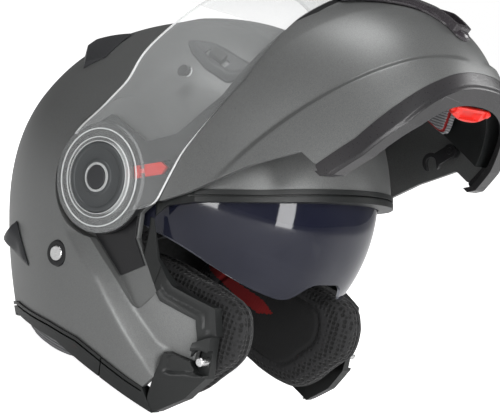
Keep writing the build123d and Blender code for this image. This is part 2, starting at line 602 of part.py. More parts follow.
# Chin bar, modelled shut: a painted wall below the visor and an arm that runs under it
EDGE_SHARES = ((0.094, 0.642), (0.268, 0.688), (0.563, 0.681), (0.78, 0.752), (1.15, 0.752))
CHIN_REAR_SHARES = ((1.15, 0.10), (0.91, 0.057), (0.807, 0.057), (0.657, 0.064), (0.526, 0.113),
                    (0.526, 0.213), (0.385, 0.369), (0.188, 0.539))
CHIN_LOW_SHARES = ((0.512, 0.06), (0.54, 0.02), (0.634, -0.015), (0.775, -0.03), (0.94, 0.0),
                   (1.15, 0.02))
SHELF_SHARES = ((0.12, 0.638), (0.268, 0.655), (0.563, 0.648), (0.78, 0.715), (1.15, 0.715))
ARM_SHARES = ((0.10, 0.641), (0.268, 0.68), (0.563, 0.674), (0.78, 0.742), (1.15, 0.742),
              (1.15, 0.80), (0.78, 0.80), (0.47, 0.74), (0.29, 0.79), (0.20, 0.90), (0.18, 1.16),
              (0.05, 1.24), (-0.08, 1.20), (-0.12, 0.85))
LOCK_TURN = -44.0
LOCK_NEAR = 28.5
LOCK_FAR = 56.0
LOCK_WIDTH = 8.5
LOCK_BAR = 4.5
LOCK_TRAVEL = 3.0
HOOK_PLACE_SHARES = (0.577, 0.277)
HOOK_RADIUS = 5.0
HOOK_PIN_RADIUS = 2.5
HOOK_IN = 89.0
HOOK_THICKNESS = 3.0
HOOK_BOSS_OUT = 99.0
hook_place = (HOOK_PLACE_SHARES[0] * CHIN_REACH, HOOK_PLACE_SHARES[1] * PIVOT_HEIGHT)
chin_outer = chin_form(0)
chin_inner = chin_form(CHIN_WALL)
arm_outer = visor_form(VISOR_WALL + VISOR_TO_ARM)
arm_inner = visor_form(VISOR_WALL + VISOR_TO_ARM + ARM_WALL)
lower_region = crosswise(placed(EDGE_SHARES + CHIN_REAR_SHARES, CHIN_REACH), -FAR, FAR)
shelf_region = crosswise(placed(EDGE_SHARES + SHELF_SHARES[::-1], CHIN_REACH), -FAR, FAR)
arm_region = crosswise(placed(ARM_SHARES, CHIN_REACH), -FAR, FAR)
lock_plane = Plane(origin=(0, 0, PIVOT_HEIGHT),
                   x_dir=(0, -cos(radians(LOCK_TURN)), sin(radians(LOCK_TURN))), z_dir=(-1, 0, 0))


def lock_slot(grow):
    """Outline of the visor lock's slider, run through the arm."""
    with BuildPart() as block:
        with BuildSketch(lock_plane.offset(ARM_IN)):
            with Locations(((LOCK_NEAR + LOCK_FAR) / 2, 0)):
                Rectangle(LOCK_FAR - LOCK_NEAR + 2 * grow, LOCK_WIDTH + SOFT_GAP)
        extrude(amount=OVERRUN)
    return block.part


arm_disc_hole = pair_of(rod(pivot_place, DISC_RADIUS + SOFT_GAP, OVERRUN, FAR))
with BuildPart() as chin_shell:
    add(layer(chin_outer, chin_inner, lower_region))
    add(layer(chin_outer, arm_inner, shelf_region))
    add(layer(arm_outer, arm_inner, less(arm_region, arm_disc_hole)))
    add(pair_of(rod(pivot_place, DISC_RADIUS + 2 * SOFT_GAP, ARM_IN, ARM_OUT)))
    add(pair_of(rod(pivot_place, PIVOT_RADIUS + PIVOT_PLAY, POCKET_FLOOR, FAR)), mode=Mode.SUBTRACT)
    add(pair_of(lock_slot(LOCK_TRAVEL)), mode=Mode.SUBTRACT)
    add(pair_of(rod(hook_place, HOOK_RADIUS, HOOK_IN + HOOK_THICKNESS + SEAT_GAP, HOOK_BOSS_OUT)))
    add(pair_of(rod(hook_place, HOOK_PIN_RADIUS, HOOK_IN - SEAT_GAP, HOOK_BOSS_OUT)))
save(raised(chin_shell.part), "chin_bar_shell")

# Visor lock sliders: a narrow bar and an arrow-shaped thumb piece on each side
LOCK_SEAT = 0.2
LOCK_THICKNESS = 2.6
with BuildPart() as visor_lock:
    with BuildSketch(lock_plane.offset(ARM_IN + LOCK_SEAT)):
        with Locations((LOCK_NEAR + LOCK_BAR / 2, 0)):
            Rectangle(LOCK_BAR, LOCK_WIDTH)
        Polygon((LOCK_NEAR + 2 * LOCK_BAR, -LOCK_WIDTH / 2), (LOCK_FAR - LOCK_BAR, -LOCK_WIDTH / 2),
                (LOCK_FAR, 0), (LOCK_FAR - LOCK_BAR, LOCK_WIDTH / 2),
                (LOCK_NEAR + 2 * LOCK_BAR, LOCK_WIDTH / 2))
        with Locations((LOCK_NEAR + LOCK_BAR, 0)):
            Rectangle(2 * LOCK_BAR, LOCK_WIDTH / 3)
    extrude(amount=LOCK_THICKNESS)
save_pair(raised(visor_lock.part), "visor_lock")

# Lower trim of the chin bar: a band under the paint, turned in as a lip along the bottom
LIP_DEPTH = 12.0
LIP_HEIGHT_SHARE = 0.035
CHIN_TRIM_PROUD = 0.8
LEVER_PLACE_SHARES = (0.8385, 0.004)
LEVER_HALF_WIDTH = 23.0
LEVER_BARREL = 3.0
LEVER_PIN_RADIUS = 1.5
LEVER_PIN_LENGTH = 4.0
LEVER_SHARES = ((0.803, -0.0172), (0.8385, -0.0172), (0.8385, 0.0252), (0.803, 0.042))
lever_place = (LEVER_PLACE_SHARES[0] * CHIN_REACH, LEVER_PLACE_SHARES[1] * PIVOT_HEIGHT)
lip_top_shares = tuple((along, up + LIP_HEIGHT_SHARE) for along, up in CHIN_LOW_SHARES[::-1])
trim_band_region = crosswise(placed(CHIN_REAR_SHARES[:5] + CHIN_LOW_SHARES, CHIN_REACH), -FAR, FAR)
lip_region = crosswise(placed(lip_top_shares + CHIN_LOW_SHARES, CHIN_REACH), -FAR, FAR)
chin_trim_skin = chin_form(-CHIN_TRIM_PROUD)
with BuildPart() as chin_trim:
    add(layer(chin_trim_skin, chin_inner, trim_band_region))
    add(layer(chin_trim_skin, chin_form(LIP_DEPTH), lip_region))
    with BuildSketch(SIDE.offset(LEVER_HALF_WIDTH + SEAT_GAP)):
        with Locations(lever_place):
            Circle(LEVER_BARREL)
            Rectangle(LIP_DEPTH, 2 * LEVER_BARREL, align=(Align.MIN, Align.CENTER))
            Circle(LEVER_PIN_RADIUS + PIVOT_PLAY, mode=Mode.SUBTRACT)
    extrude(amount=LEVER_PIN_LENGTH)
    mirror(about=Plane.YZ)
save(raised(chin_trim.part), "chin_lower_trim")

# Latch hooks that catch the striker pins
HOOK_HEAD_RADIUS = 7.2
HOOK_MOUTH = 4.2
with BuildPart() as latch_hook:
    with BuildSketch(SIDE.offset(HOOK_IN)):
        with Locations(pin_place):
            Circle(HOOK_HEAD_RADIUS)
        with Locations(hook_place):
            Circle(HOOK_RADIUS)
        Polygon((pin_place[0], pin_place[1] - HOOK_RADIUS), (hook_place[0], hook_place[1] - HOOK_RADIUS),
                (hook_place[0], hook_place[1] + HOOK_RADIUS), (pin_place[0], pin_place[1] + HOOK_RADIUS),
                align=None)
        with Locations(hook_place):
            Circle(HOOK_PIN_RADIUS + PIVOT_PLAY, mode=Mode.SUBTRACT)
        with Locations(pin_place):
            Circle(HOOK_MOUTH, mode=Mode.SUBTRACT)
            Rectangle(2 * BOWL_RADIUS, 2 * HOOK_MOUTH, rotation=HOOK_ENTRY,
                      align=(Align.MAX, Align.CENTER), mode=Mode.SUBTRACT)
    extrude(amount=HOOK_THICKNESS)
save_pair(raised(latch_hook.part), "latch_hook")

# Vent cover on the middle of the chin bar, with a sliding shutter across its upper slot
COVER_PROUD = 3.0
COVER_SHARES = ((0.0, 0.78), (0.45, 0.78), (0.45, 0.755), (0.475, 0.70), (0.30, 0.575), (0.155, 0.49),
                (0.086, 0.355), (0.069, 0.255), (0.0, 0.24))
SHUTTER_HALF_WIDTH = 31.0
SHUTTER_TRAVEL = 3.0
SHUTTER_LOW_SHARE = 0.695
SHUTTER_HIGH_SHARE = 0.745
SHUTTER_PROUD = 2.1
SHUTTER_CLEAR = 0.9
SHUTTER_STEP = 1.0
STUD_PLACE = 22.0
STUD_WIDTH = 9.0
STUD_PROUD = 4.4
front_far = FRONT.offset(CHIN_REACH / 2)


def from_front(points, depth):
    """Front-view outline run forward, from half the chin bar's reach."""
    with BuildPart() as prism:
        with BuildSketch(front_far):
            Polygon(*points, align=None)
        extrude(amount=depth)
    return prism.part


def slab(half_width, low_share, high_share, middle=0):
    """Front-view rectangle run forward."""
    low = low_share * PIVOT_HEIGHT
    high = high_share * PIVOT_HEIGHT
    left, right = middle - half_width, middle + half_width
    return from_front([(left, low), (right, low), (right, high), (left, high)], CHIN_REACH)


cover_half = [(out * CHIN_HALF_WIDTH, up * PIVOT_HEIGHT) for out, up in COVER_SHARES]
cover_region = from_front(cover_half + [(-out, up) for out, up in reversed(cover_half[1:-1])], CHIN_REACH)
shutter_slot = slab(SHUTTER_HALF_WIDTH + SHUTTER_TRAVEL + SOFT_GAP, SHUTTER_LOW_SHARE, SHUTTER_HIGH_SHARE)
vent_cover = layer(chin_form(-COVER_PROUD), chin_form(-SEAT_GAP), less(cover_region, shutter_slot))
save(raised(vent_cover), "chin_vent_cover")
step_share = SHUTTER_STEP / PIVOT_HEIGHT
with BuildPart() as shutter:
    add(layer(chin_form(-SHUTTER_PROUD), chin_form(-SHUTTER_CLEAR),
              slab(SHUTTER_HALF_WIDTH, SHUTTER_LOW_SHARE + step_share / 2,
                   SHUTTER_HIGH_SHARE - step_share / 2)))
    for side in (-1, 1):
        add(layer(chin_form(-STUD_PROUD), chin_form(-SHUTTER_CLEAR),
                  slab(STUD_WIDTH / 2, SHUTTER_LOW_SHARE + step_share,
                       SHUTTER_HIGH_SHARE - step_share, side * STUD_PLACE)))
save(raised(shutter.part), "chin_vent_shutter")

# Inner liner of the chin bar
CHIN_LINER_DEPTH = 20.0
CHIN_LINER_SHARES = ((0.62, 0.055), (0.90, 0.055), (1.15, 0.08), (1.15, 0.62), (0.62, 0.62))
chin_liner_region = crosswise(placed(CHIN_LINER_SHARES, CHIN_REACH), -FAR, FAR)
chin_liner = layer(chin_form(CHIN_WALL + SOFT_GAP), chin_form(CHIN_LINER_DEPTH), chin_liner_region)
save(raised(chin_liner), "chin_liner")

# Chin pads on the inner liner: crowned cushions
CHIN_PAD_LENGTH = 40.0
CHIN_PAD_HEIGHT = 44.0
CHIN_PAD_DEPTHS = (0.0, 4.0, 8.5)
CHIN_PAD_SHRINK_SHARES = (0.92, 1.0, 0.72)
CHIN_PAD_CORNER = 8.0
CHIN_PAD_PLACE = (151.3, 65.8, 58.0)
CHIN_PAD_TURN = 30.0
pad_plane = Plane(origin=(-CHIN_PAD_PLACE[1], -CHIN_PAD_PLACE[0], CHIN_PAD_PLACE[2]),
                  x_dir=(sin(radians(CHIN_PAD_TURN)), -cos(radians(CHIN_PAD_TURN)), 0),
                  z_dir=(cos(radians(CHIN_PAD_TURN)), sin(radians(CHIN_PAD_TURN)), 0))
with BuildPart() as chin_pad:
    for depth, share in zip(CHIN_PAD_DEPTHS, CHIN_PAD_SHRINK_SHARES):
        with BuildSketch(pad_plane.offset(depth)):
            RectangleRounded(CHIN_PAD_LENGTH * share, CHIN_PAD_HEIGHT * share, CHIN_PAD_CORNER * share)
    loft()
save_pair(raised(chin_pad.part), "chin_pad")

# Release lever under the front of the chin bar
with BuildPart() as release_lever:
    with BuildSketch(SIDE.offset(-LEVER_HALF_WIDTH)):
        Polygon(*placed(LEVER_SHARES, CHIN_REACH), align=None)
        with Locations(lever_place):
            Circle(LEVER_BARREL)
    extrude(amount=2 * LEVER_HALF_WIDTH)
    with BuildSketch(SIDE.offset(-LEVER_HALF_WIDTH - LEVER_PIN_LENGTH)):
        with Locations(lever_place):
            Circle(LEVER_PIN_RADIUS)
    extrude(amount=2 * (LEVER_HALF_WIDTH + LEVER_PIN_LENGTH))
save(raised(release_lever.part), "release_lever")

# Clear visor, with its moulded rings and anti-fog pins
SHIELD_SHARES = ((0.0, 1.26), (0.07, 1.262), (0.185, 1.22), (0.315, 1.199), (0.41, 1.248),
                 (0.545, 1.262), (0.645, 1.284), (0.74, 1.298), (0.85, 1.348), (1.15, 1.348),
                 (1.15, 0.758), (0.83, 0.758), (0.60, 0.687), (0.285, 0.694), (0.085, 0.644), (0.0, 0.74))
RING_BORE = 24.7
RING_PROUD = 1.1
FOG_PIN_SHARES = (0.465, 1.007)
FOG_PIN_RADIUS = 4.0
FOG_PIN_DEPTH = 6.0
visor_outer = visor_form(0)
visor_inner = visor_form(VISOR_WALL)
visor_disc_in = VISOR_HALF_WIDTH - VISOR_DISC_WALL
shield_region = crosswise(placed(SHIELD_SHARES, VISOR_REACH), -FAR, FAR)
with BuildPart() as visor:
    add(layer(visor_outer, visor_inner, shield_region))
    add(pair_of(rod(pivot_place, DISC_RADIUS, visor_disc_in, VISOR_HALF_WIDTH)))
    add(pair_of(rod(pivot_place, RING_RADIUS, visor_disc_in, VISOR_HALF_WIDTH + RING_PROUD)))
    add(pair_of(rod(pivot_place, RING_BORE, POCKET_FLOOR, FAR)), mode=Mode.SUBTRACT)
save(raised(visor.part), "visor")
fog_place = (FOG_PIN_SHARES[0] * VISOR_REACH, FOG_PIN_SHARES[1] * PIVOT_HEIGHT)
fog_pin = layer(visor_form(VISOR_WALL + SEAT_GAP / 2), visor_form(FOG_PIN_DEPTH),
                rod(fog_place, FOG_PIN_RADIUS, OVERRUN, FAR))
save_pair(raised(fog_pin), "anti_fog_pin")

# Disc covers over the pivots
COVER_BORE = 8.3
COVER_OUT = 120.0
with BuildPart() as pivot_cover:
    add(rod(pivot_place, COVER_RADIUS, ARM_OUT + SEAT_GAP, COVER_OUT))
    add(rod(pivot_place, COVER_BORE, POCKET_FLOOR, FAR), mode=Mode.SUBTRACT)
    fillet(pivot_cover.faces().sort_by(Axis.X)[0].outer_wire().edges(), VISOR_TO_ARM)
save_pair(raised(pivot_cover.part), "pivot_cover")
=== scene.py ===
import bpy
import bmesh
import math
import numpy as np
from mathutils import Matrix, Vector

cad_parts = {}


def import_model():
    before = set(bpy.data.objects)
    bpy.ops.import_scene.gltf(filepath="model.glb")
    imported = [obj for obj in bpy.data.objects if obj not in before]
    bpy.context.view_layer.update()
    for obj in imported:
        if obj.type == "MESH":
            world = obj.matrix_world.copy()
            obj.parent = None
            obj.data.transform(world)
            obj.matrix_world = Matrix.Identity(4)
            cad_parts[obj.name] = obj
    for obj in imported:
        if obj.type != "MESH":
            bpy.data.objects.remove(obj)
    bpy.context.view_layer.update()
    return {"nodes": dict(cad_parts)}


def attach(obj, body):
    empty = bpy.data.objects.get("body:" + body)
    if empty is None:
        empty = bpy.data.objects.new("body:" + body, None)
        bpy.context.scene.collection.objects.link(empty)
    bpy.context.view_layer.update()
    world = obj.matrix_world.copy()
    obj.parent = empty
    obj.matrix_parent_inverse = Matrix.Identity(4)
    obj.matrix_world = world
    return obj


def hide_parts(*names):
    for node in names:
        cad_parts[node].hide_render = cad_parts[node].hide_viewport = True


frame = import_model()

# ---------------------------------------------------------------- sizes shared with the CAD, in mm
PIVOT_HEIGHT = 141.0
LEAN = math.radians(18.6)
LIFT = math.radians(68.0)
BROW_REACH = 140.0
CHIN_REACH = 213.0
VISOR_REACH = 200.0
HALF_WIDTH = 121.0
CROWN_RISE = 121.0
GIRTH_DROP = 20.0
NECK_DROP = 165.0
NECK_HALF_WIDTH = 98.0
FRONT_DEPTH = 139.0
REAR_DEPTH = 165.0
AHEAD = 5.0
CROWN_FULLNESS = 2.3
FAR = 181.0
CHIN = dict(heights=(-0.10, 0.10, 0.32, 0.64, 0.95, 1.36), reaches=(0.885, 0.962, 1.0, 0.965, 0.87, 0.72),
            widths=(0.955, 0.975, 0.988, 1.0, 1.0, 1.0), half_width=116.0, reach=213.0, fullness=2.5)
VISOR = dict(heights=(0.54, 0.75, 1.03, 1.37), reaches=(1.0, 0.95, 0.86, 0.712),
             widths=(1.0, 1.0, 1.0, 1.0), half_width=118.5, reach=200.0, fullness=2.3)
BACK_OF_FACE = 46.0
POCKET_FLOOR = 106.5
PIVOT = (0, PIVOT_HEIGHT)
RIVET_PLACE = (-0.143 * BROW_REACH, 0.566 * PIVOT_HEIGHT)
LATCH_PIN_PLACE = (106.96, 45.68)


# ---------------------------------------------------------------- small helpers
def mesh_object(name, points, faces):
    me = bpy.data.meshes.new(name)
    me.from_pydata([tuple(p) for p in points], [], [tuple(f) for f in faces])
    me.validate()
    me.update()
    ob = bpy.data.objects.new(name, me)
    bpy.context.scene.collection.objects.link(ob)
    return ob


def fix_normals(ob):
    bm = bmesh.new()
    bm.from_mesh(ob.data)
    bmesh.ops.remove_doubles(bm, verts=bm.verts, dist=1e-7)
    bmesh.ops.recalc_face_normals(bm, faces=bm.faces)
    bm.to_mesh(ob.data)
    bm.free()
    return ob


def smooth(ob, angle=32):
    ob.data.shade_smooth()
    ob.data.set_sharp_from_angle(angle=math.radians(angle))
    return ob


def apply_modifiers(ob):
    dg = bpy.context.evaluated_depsgraph_get()
    me = bpy.data.meshes.new_from_object(ob.evaluated_get(dg))
    old = ob.data
    ob.modifiers.clear()
    ob.data = me
    bpy.data.meshes.remove(old)
    return ob


def boolean(ob, cutter, how):
    """Cut, keep or join with another mesh, which is used up."""
    m = ob.modifiers.new("b", "BOOLEAN")
    m.operation = how
    m.object = cutter
    m.solver = "MANIFOLD"
    apply_modifiers(ob)
    bpy.data.objects.remove(cutter, do_unlink=True)
    return ob


def copy_of(ob, name):
    new = ob.copy()
    new.data = ob.data.copy()
    new.name = name
    bpy.context.scene.collection.objects.link(new)
    return new


def grid_faces(rows, columns, closed):
    faces = []
    span = columns if closed else columns - 1
    for r in range(rows - 1):
        for c in range(span):
            d = (c + 1) % columns
            faces.append((r * columns + c, r * columns + d, (r + 1) * columns + d, (r + 1) * columns + c))
    return faces


def to_row(head):
    """Head-frame points (X left, forward, up from the pivot) to the row frame, in mm."""
    x, f, z = head[:, 0], head[:, 1], head[:, 2]
    c, s = math.cos(LEAN), math.sin(LEAN)
    return np.stack([x, -(f * c - z * s), f * s + z * c + PIVOT_HEIGHT], 1)


def signed_distance(f, z, polygon):
    """Distance of side-view points to a closed outline, negative inside."""
    p = np.stack([f, z], 1)
    poly = np.array(polygon, float)
    best = np.full(len(p), 1e9)
    inside = np.zeros(len(p), bool)
    for a, b in zip(poly, np.roll(poly, -1, 0)):
        d = b - a
        t = np.clip(((p - a) @ d) / (d @ d), 0, 1)
        best = np.minimum(best, np.linalg.norm(p - a - t[:, None] * d, axis=1))
        crosses = (a[1] > p[:, 1]) != (b[1] > p[:, 1])
        with np.errstate(divide="ignore", invalid="ignore"):
            at = (b[0] - a[0]) * (p[:, 1] - a[1]) / (b[1] - a[1] + 1e-12) + a[0]
        inside ^= crosses & (p[:, 0] < at)
    return np.where(inside, -best, best)


def line_distance(f, z, line):
    """Distance of side-view points to an open line."""
    p = np.stack([f, z], 1)
    pts = np.array(line, float)
    best = np.full(len(p), 1e9)
    for a, b in zip(pts[:-1], pts[1:]):
        d = b - a
        t = np.clip(((p - a) @ d) / (d @ d), 0, 1)
        best = np.minimum(best, np.linalg.norm(p - a - t[:, None] * d, axis=1))
    return best


def placed(shares, reach=BROW_REACH, height=PIVOT_HEIGHT):
    return [(a * reach, b * height) for a, b in shares]


def ramp(t):
    t = np.clip(t, 0, 1)
    return t * t * (3 - 2 * t)


def rows_of(me, what):
    """Places or normals of a mesh's points, one row each."""
    values = np.zeros(len(me.vertices) * 3)
    me.vertices.foreach_get(what, values)
    return values.reshape(-1, 3)


def sunk(ob, depth):
    """Sink points along their normals by depth(places in mm, normals)."""
    me = ob.data
    co, no = rows_of(me, "co"), rows_of(me, "normal")
    co -= no * (depth(co * 1000, no) / 1000)[:, None]
    me.vertices.foreach_set("co", co.ravel())
    me.update()
    return ob


def triangulated(ob, method):
    """Every face cut into triangles, and all of them turned outward."""
    bm = bmesh.new()
    bm.from_mesh(ob.data)
    bmesh.ops.triangulate(bm, faces=bm.faces, ngon_method=method)
    bmesh.ops.recalc_face_normals(bm, faces=bm.faces)
    bm.to_mesh(ob.data)
    bm.free()
    return ob


def dome(name, inset, columns=300, rows=170, depth=None):
    """Closed skull form a depth inside the shell's outer surface; depth adds to it point by point."""
    turns = np.linspace(math.pi / 2, 0, int(rows * 0.6))[1:]
    half = HALF_WIDTH - inset
    rise = CROWN_RISE + GIRTH_DROP - inset
    out = list(half * np.cos(turns) ** (2 / CROWN_FULLNESS))
    up = list(rise * np.sin(turns) ** (2 / CROWN_FULLNESS) - GIRTH_DROP)
    for t in np.linspace(0, 1, rows - len(turns) + 1)[1:]:
        out.append(half - (HALF_WIDTH - NECK_HALF_WIDTH) * t * t)
        up.append(-GIRTH_DROP - (NECK_DROP - GIRTH_DROP) * t)
    out, up = np.array(out), np.array(up)
    turn = np.linspace(0, 2 * math.pi, columns, endpoint=False)
    x = out[:, None] * np.cos(turn)[None]
    y = out[:, None] * np.sin(turn)[None]
    k = np.where(np.sin(turn) > 0, (FRONT_DEPTH - inset) / half, (REAR_DEPTH - inset) / half)
    f = y * k[None] + AHEAD
    z = np.repeat(up[:, None], columns, 1)
    head = np.stack([x.ravel(), f.ravel(), z.ravel()], 1)
    crown = np.array([[0, AHEAD, rise - GIRTH_DROP]])
    foot = np.array([[0, AHEAD, -NECK_DROP]])
    head = np.concatenate([head, crown, foot])
    rows_n = len(out)
    faces = grid_faces(rows_n, columns, True)
    top, low = len(head) - 2, len(head) - 1
    for c in range(columns):
        d = (c + 1) % columns
        faces.append((top, d, c))
        faces.append((low, (rows_n - 1) * columns + c, (rows_n - 1) * columns + d))
    row = to_row(head)
    ob = mesh_object(name, row / 1000, faces)
    fix_normals(ob)
    return sunk(ob, depth) if depth else ob


def cubic(xs, ys, x):
    """Natural cubic spline through a few points."""
    xs, ys = np.array(xs, float), np.array(ys, float)
    n = len(xs)
    h = np.diff(xs)
    a = np.zeros((n, n))
    b = np.zeros(n)
    a[0, 0] = a[-1, -1] = 1
    for i in range(1, n - 1):
        a[i, i - 1], a[i, i], a[i, i + 1] = h[i - 1], 2 * (h[i - 1] + h[i]), h[i]
        b[i] = 3 * ((ys[i + 1] - ys[i]) / h[i] - (ys[i] - ys[i - 1]) / h[i - 1])
    c = np.linalg.solve(a, b)
    i = np.clip(np.searchsorted(xs, x) - 1, 0, n - 2)
    t = x - xs[i]
    slope = (ys[i + 1] - ys[i]) / h[i] - h[i] * (2 * c[i] + c[i + 1]) / 3
    return ys[i] + t * (slope + t * (c[i] + t * (c[i + 1] - c[i]) / (3 * h[i])))


def face_section(form, z, inset):
    share = z / PIVOT_HEIGHT
    side = form["half_width"] * cubic(form["heights"], form["widths"], share) - inset
    nose = form["reach"] * cubic(form["heights"], form["reaches"], share) - inset
    return side, nose


def face_form(name, form, inset, rows=110, columns=220, depth=None, z_range=None):
    """Closed form that wraps round the face, shut, in the row frame."""
    low, high = z_range or (form["heights"][0] * PIVOT_HEIGHT, form["heights"][-1] * PIVOT_HEIGHT)
    zs = np.linspace(low, high, rows)
    side, nose = face_section(form, zs, inset)
    turn = np.linspace(0, math.pi, columns)
    n = form["fullness"]
    cosine = np.cos(turn)
    across = np.sign(cosine) * np.abs(cosine) ** (2 / n)
    ahead = np.abs(np.sin(turn)) ** (2 / n)
    ahead[0] = ahead[-1] = 0
    x = side[:, None] * across[None]
    f = nose[:, None] * ahead[None]
    back = np.linspace(0, -BACK_OF_FACE, 14)[1:]
    xr = np.repeat(-side[:, None], len(back), 1)
    fr = np.repeat(back[None], rows, 0)
    x = np.concatenate([x, xr, -xr[:, ::-1]], 1)
    f = np.concatenate([f, fr, fr[:, ::-1]], 1)
    total = x.shape[1]
    z = np.repeat(zs[:, None], total, 1)
    pts = np.stack([x.ravel(), -f.ravel(), z.ravel()], 1)
    faces = grid_faces(rows, total, True)
    count = len(pts)
    pts = np.concatenate([pts, [[0, -nose[0] / 3, zs[0]], [0, -nose[-1] / 3, zs[-1]]]])
    for c in range(total):
        d = (c + 1) % total
        faces.append((count, d, c))
        faces.append((count + 1, (rows - 1) * total + c, (rows - 1) * total + d))
    ob = mesh_object(name, pts / 1000, faces)
    fix_normals(ob)
    return sunk(ob, depth) if depth else ob


def prism(name, outline, axis, near, far):
    """Closed outline run along an axis: X takes (forward, up), Y (x, up) and Z (forward, x) points, in mm."""
    pts = []
    for at in (near, far):
        for a, b in outline:
            if axis == "X":
                pts.append((at, -a, b))
            elif axis == "Y":
                pts.append((a, -at, b))
            else:
                pts.append((b, -a, at))
    n = len(outline)
    faces = [tuple(range(n)), tuple(range(2 * n - 1, n - 1, -1))]
    faces += [(i, (i + 1) % n, n + (i + 1) % n, n + i) for i in range(n)]
    return triangulated(mesh_object(name, np.array(pts) / 1000, faces), "EAR_CLIP")


def disc_outline(place, radius, count=72):
    return [(place[0] + radius * math.cos(2 * math.pi * i / count),
             place[1] + radius * math.sin(2 * math.pi * i / count)) for i in range(count)]


def rounded(outline, radius, steps=6):
    """Outline with its corners rounded."""
    pts = [Vector(p) for p in outline]
    result = []
    n = len(pts)
    for i in range(n):
        before, at, after = pts[i - 1], pts[i], pts[(i + 1) % n]
        u, v = (before - at), (after - at)
        reach = min(radius, u.length * 0.45, v.length * 0.45)
        a, b = at + u.normalized() * reach, at + v.normalized() * reach
        for s in range(steps + 1):
            t = s / steps
            result.append(tuple(a * (1 - t) ** 2 + at * 2 * t * (1 - t) + b * t * t))
    return result


def less(ob, cutter):
    return boolean(ob, cutter, "DIFFERENCE")


def kept(ob, outline, axis="X", near=-FAR, far=FAR):
    """Keep what lies inside an outline."""
    return boolean(ob, prism("region", outline, axis, near, far), "INTERSECT")


def less_sides(ob, outline, near, far=FAR):
    """Cut a side outline out of both sides, between two distances from the middle plane."""
    for side in (-1, 1):
        less(ob, prism("cut", outline, "X", *sorted((side * near, side * far))))
    return ob


def pockets(ob):
    """The pockets in which the chin bar's arms turn."""
    less_sides(ob, rounded(placed(POCKET), 8), POCKET_FLOOR)
    return less_sides(ob, disc_outline(PIVOT, 42, 96), POCKET_FLOOR)


def raise_up(ob):
    """Turn a piece of the chin bar or visor from shut to the standing pose."""
    ob.data.transform(Matrix.Translation((0, 0, PIVOT_HEIGHT / 1000))
                      @ Matrix.Rotation(-LIFT, 4, "X")
                      @ Matrix.Translation((0, 0, -PIVOT_HEIGHT / 1000)))
    return ob


# ---------------------------------------------------------------- materials
def new_material(name):
    m = bpy.data.materials.new(name)
    m.use_nodes = True
    nt = m.node_tree
    return m, nt, nt.nodes["Principled BSDF"]


def coords(nt):
    return nt.nodes.new("ShaderNodeTexCoord").outputs["Object"]


def noise(nt, scale, detail=4.0):
    n = nt.nodes.new("ShaderNodeTexNoise")
    n.inputs["Scale"].default_value = scale
    n.inputs["Detail"].default_value = detail
    nt.links.new(coords(nt), n.inputs["Vector"])
    return n.outputs["Fac"]


def ramp_node(nt, source, low, high, a, b):
    n = nt.nodes.new("ShaderNodeValToRGB")
    n.color_ramp.elements[0].position = low
    n.color_ramp.elements[1].position = high
    n.color_ramp.elements[0].color = (*a, 1)
    n.color_ramp.elements[1].color = (*b, 1)
    nt.links.new(source, n.inputs["Fac"])
    return n.outputs["Color"]


def map_node(nt, source, low, high, a, b):
    n = nt.nodes.new("ShaderNodeMapRange")
    for i, v in enumerate((low, high, a, b)):
        n.inputs[i + 1].default_value = v
    nt.links.new(source, n.inputs[0])
    return n.outputs[0]


def bump(nt, bsdf, height, strength, distance, before=None):
    n = nt.nodes.new("ShaderNodeBump")
    n.inputs["Strength"].default_value = strength
    n.inputs["Distance"].default_value = distance
    nt.links.new(height, n.inputs["Height"])
    if before is not None:
        nt.links.new(before, n.inputs["Normal"])
    nt.links.new(n.outputs["Normal"], bsdf.inputs["Normal"])
    return n.outputs["Normal"]


def soft_edge(nt, radius):
    n = nt.nodes.new("ShaderNodeBevel")
    n.samples = 4
    n.inputs["Radius"].default_value = radius
    return n.outputs["Normal"]


def paint():
    m, nt, b = new_material("shell_paint")
    flake = noise(nt, 2600, 2)
    broad = noise(nt, 9, 3)
    base = ramp_node(nt, flake, 0.30, 0.72, (0.118, 0.121, 0.120), (0.205, 0.209, 0.207))
    mix = nt.nodes.new("ShaderNodeMix")
    mix.data_type = "RGBA"
    mix.blend_type = "MULTIPLY"
    mix.inputs["Factor"].default_value = 1.0
    nt.links.new(base, mix.inputs["A"])
    nt.links.new(ramp_node(nt, broad, 0.3, 0.7, (0.94, 0.94, 0.94), (1, 1, 1)), mix.inputs["B"])
    nt.links.new(mix.outputs["Result"], b.inputs["Base Color"])
    b.inputs["Metallic"].default_value = 0.55
    nt.links.new(map_node(nt, flake, 0.3, 0.7, 0.36, 0.46), b.inputs["Roughness"])
    bump(nt, b, flake, 0.06, 0.0002, soft_edge(nt, 0.0009))
    return m


def plastic(name, low, high, roughness, grain=900, strength=0.12, edge=0.0005, coat=0.0):
    m, nt, b = new_material(name)
    n = noise(nt, grain, 3)
    broad = noise(nt, 14, 3)
    nt.links.new(ramp_node(nt, broad, 0.3, 0.7, low, high), b.inputs["Base Color"])
    nt.links.new(map_node(nt, n, 0.3, 0.7, roughness - 0.06, roughness + 0.06), b.inputs["Roughness"])
    b.inputs["Coat Weight"].default_value = coat
    b.inputs["Specular IOR Level"].default_value = 0.32
    bump(nt, b, n, strength, 0.0002, soft_edge(nt, edge))
    return m


def metal(name, low, high, roughness):
    m, nt, b = new_material(name)
    n = noise(nt, 700, 3)
    nt.links.new(ramp_node(nt, noise(nt, 30, 3), 0.3, 0.7, low, high), b.inputs["Base Color"])
    b.inputs["Metallic"].default_value = 1.0
    nt.links.new(map_node(nt, n, 0.3, 0.7, roughness - 0.06, roughness + 0.08), b.inputs["Roughness"])
    bump(nt, b, n, 0.05, 0.0002, soft_edge(nt, 0.0005))
    return m


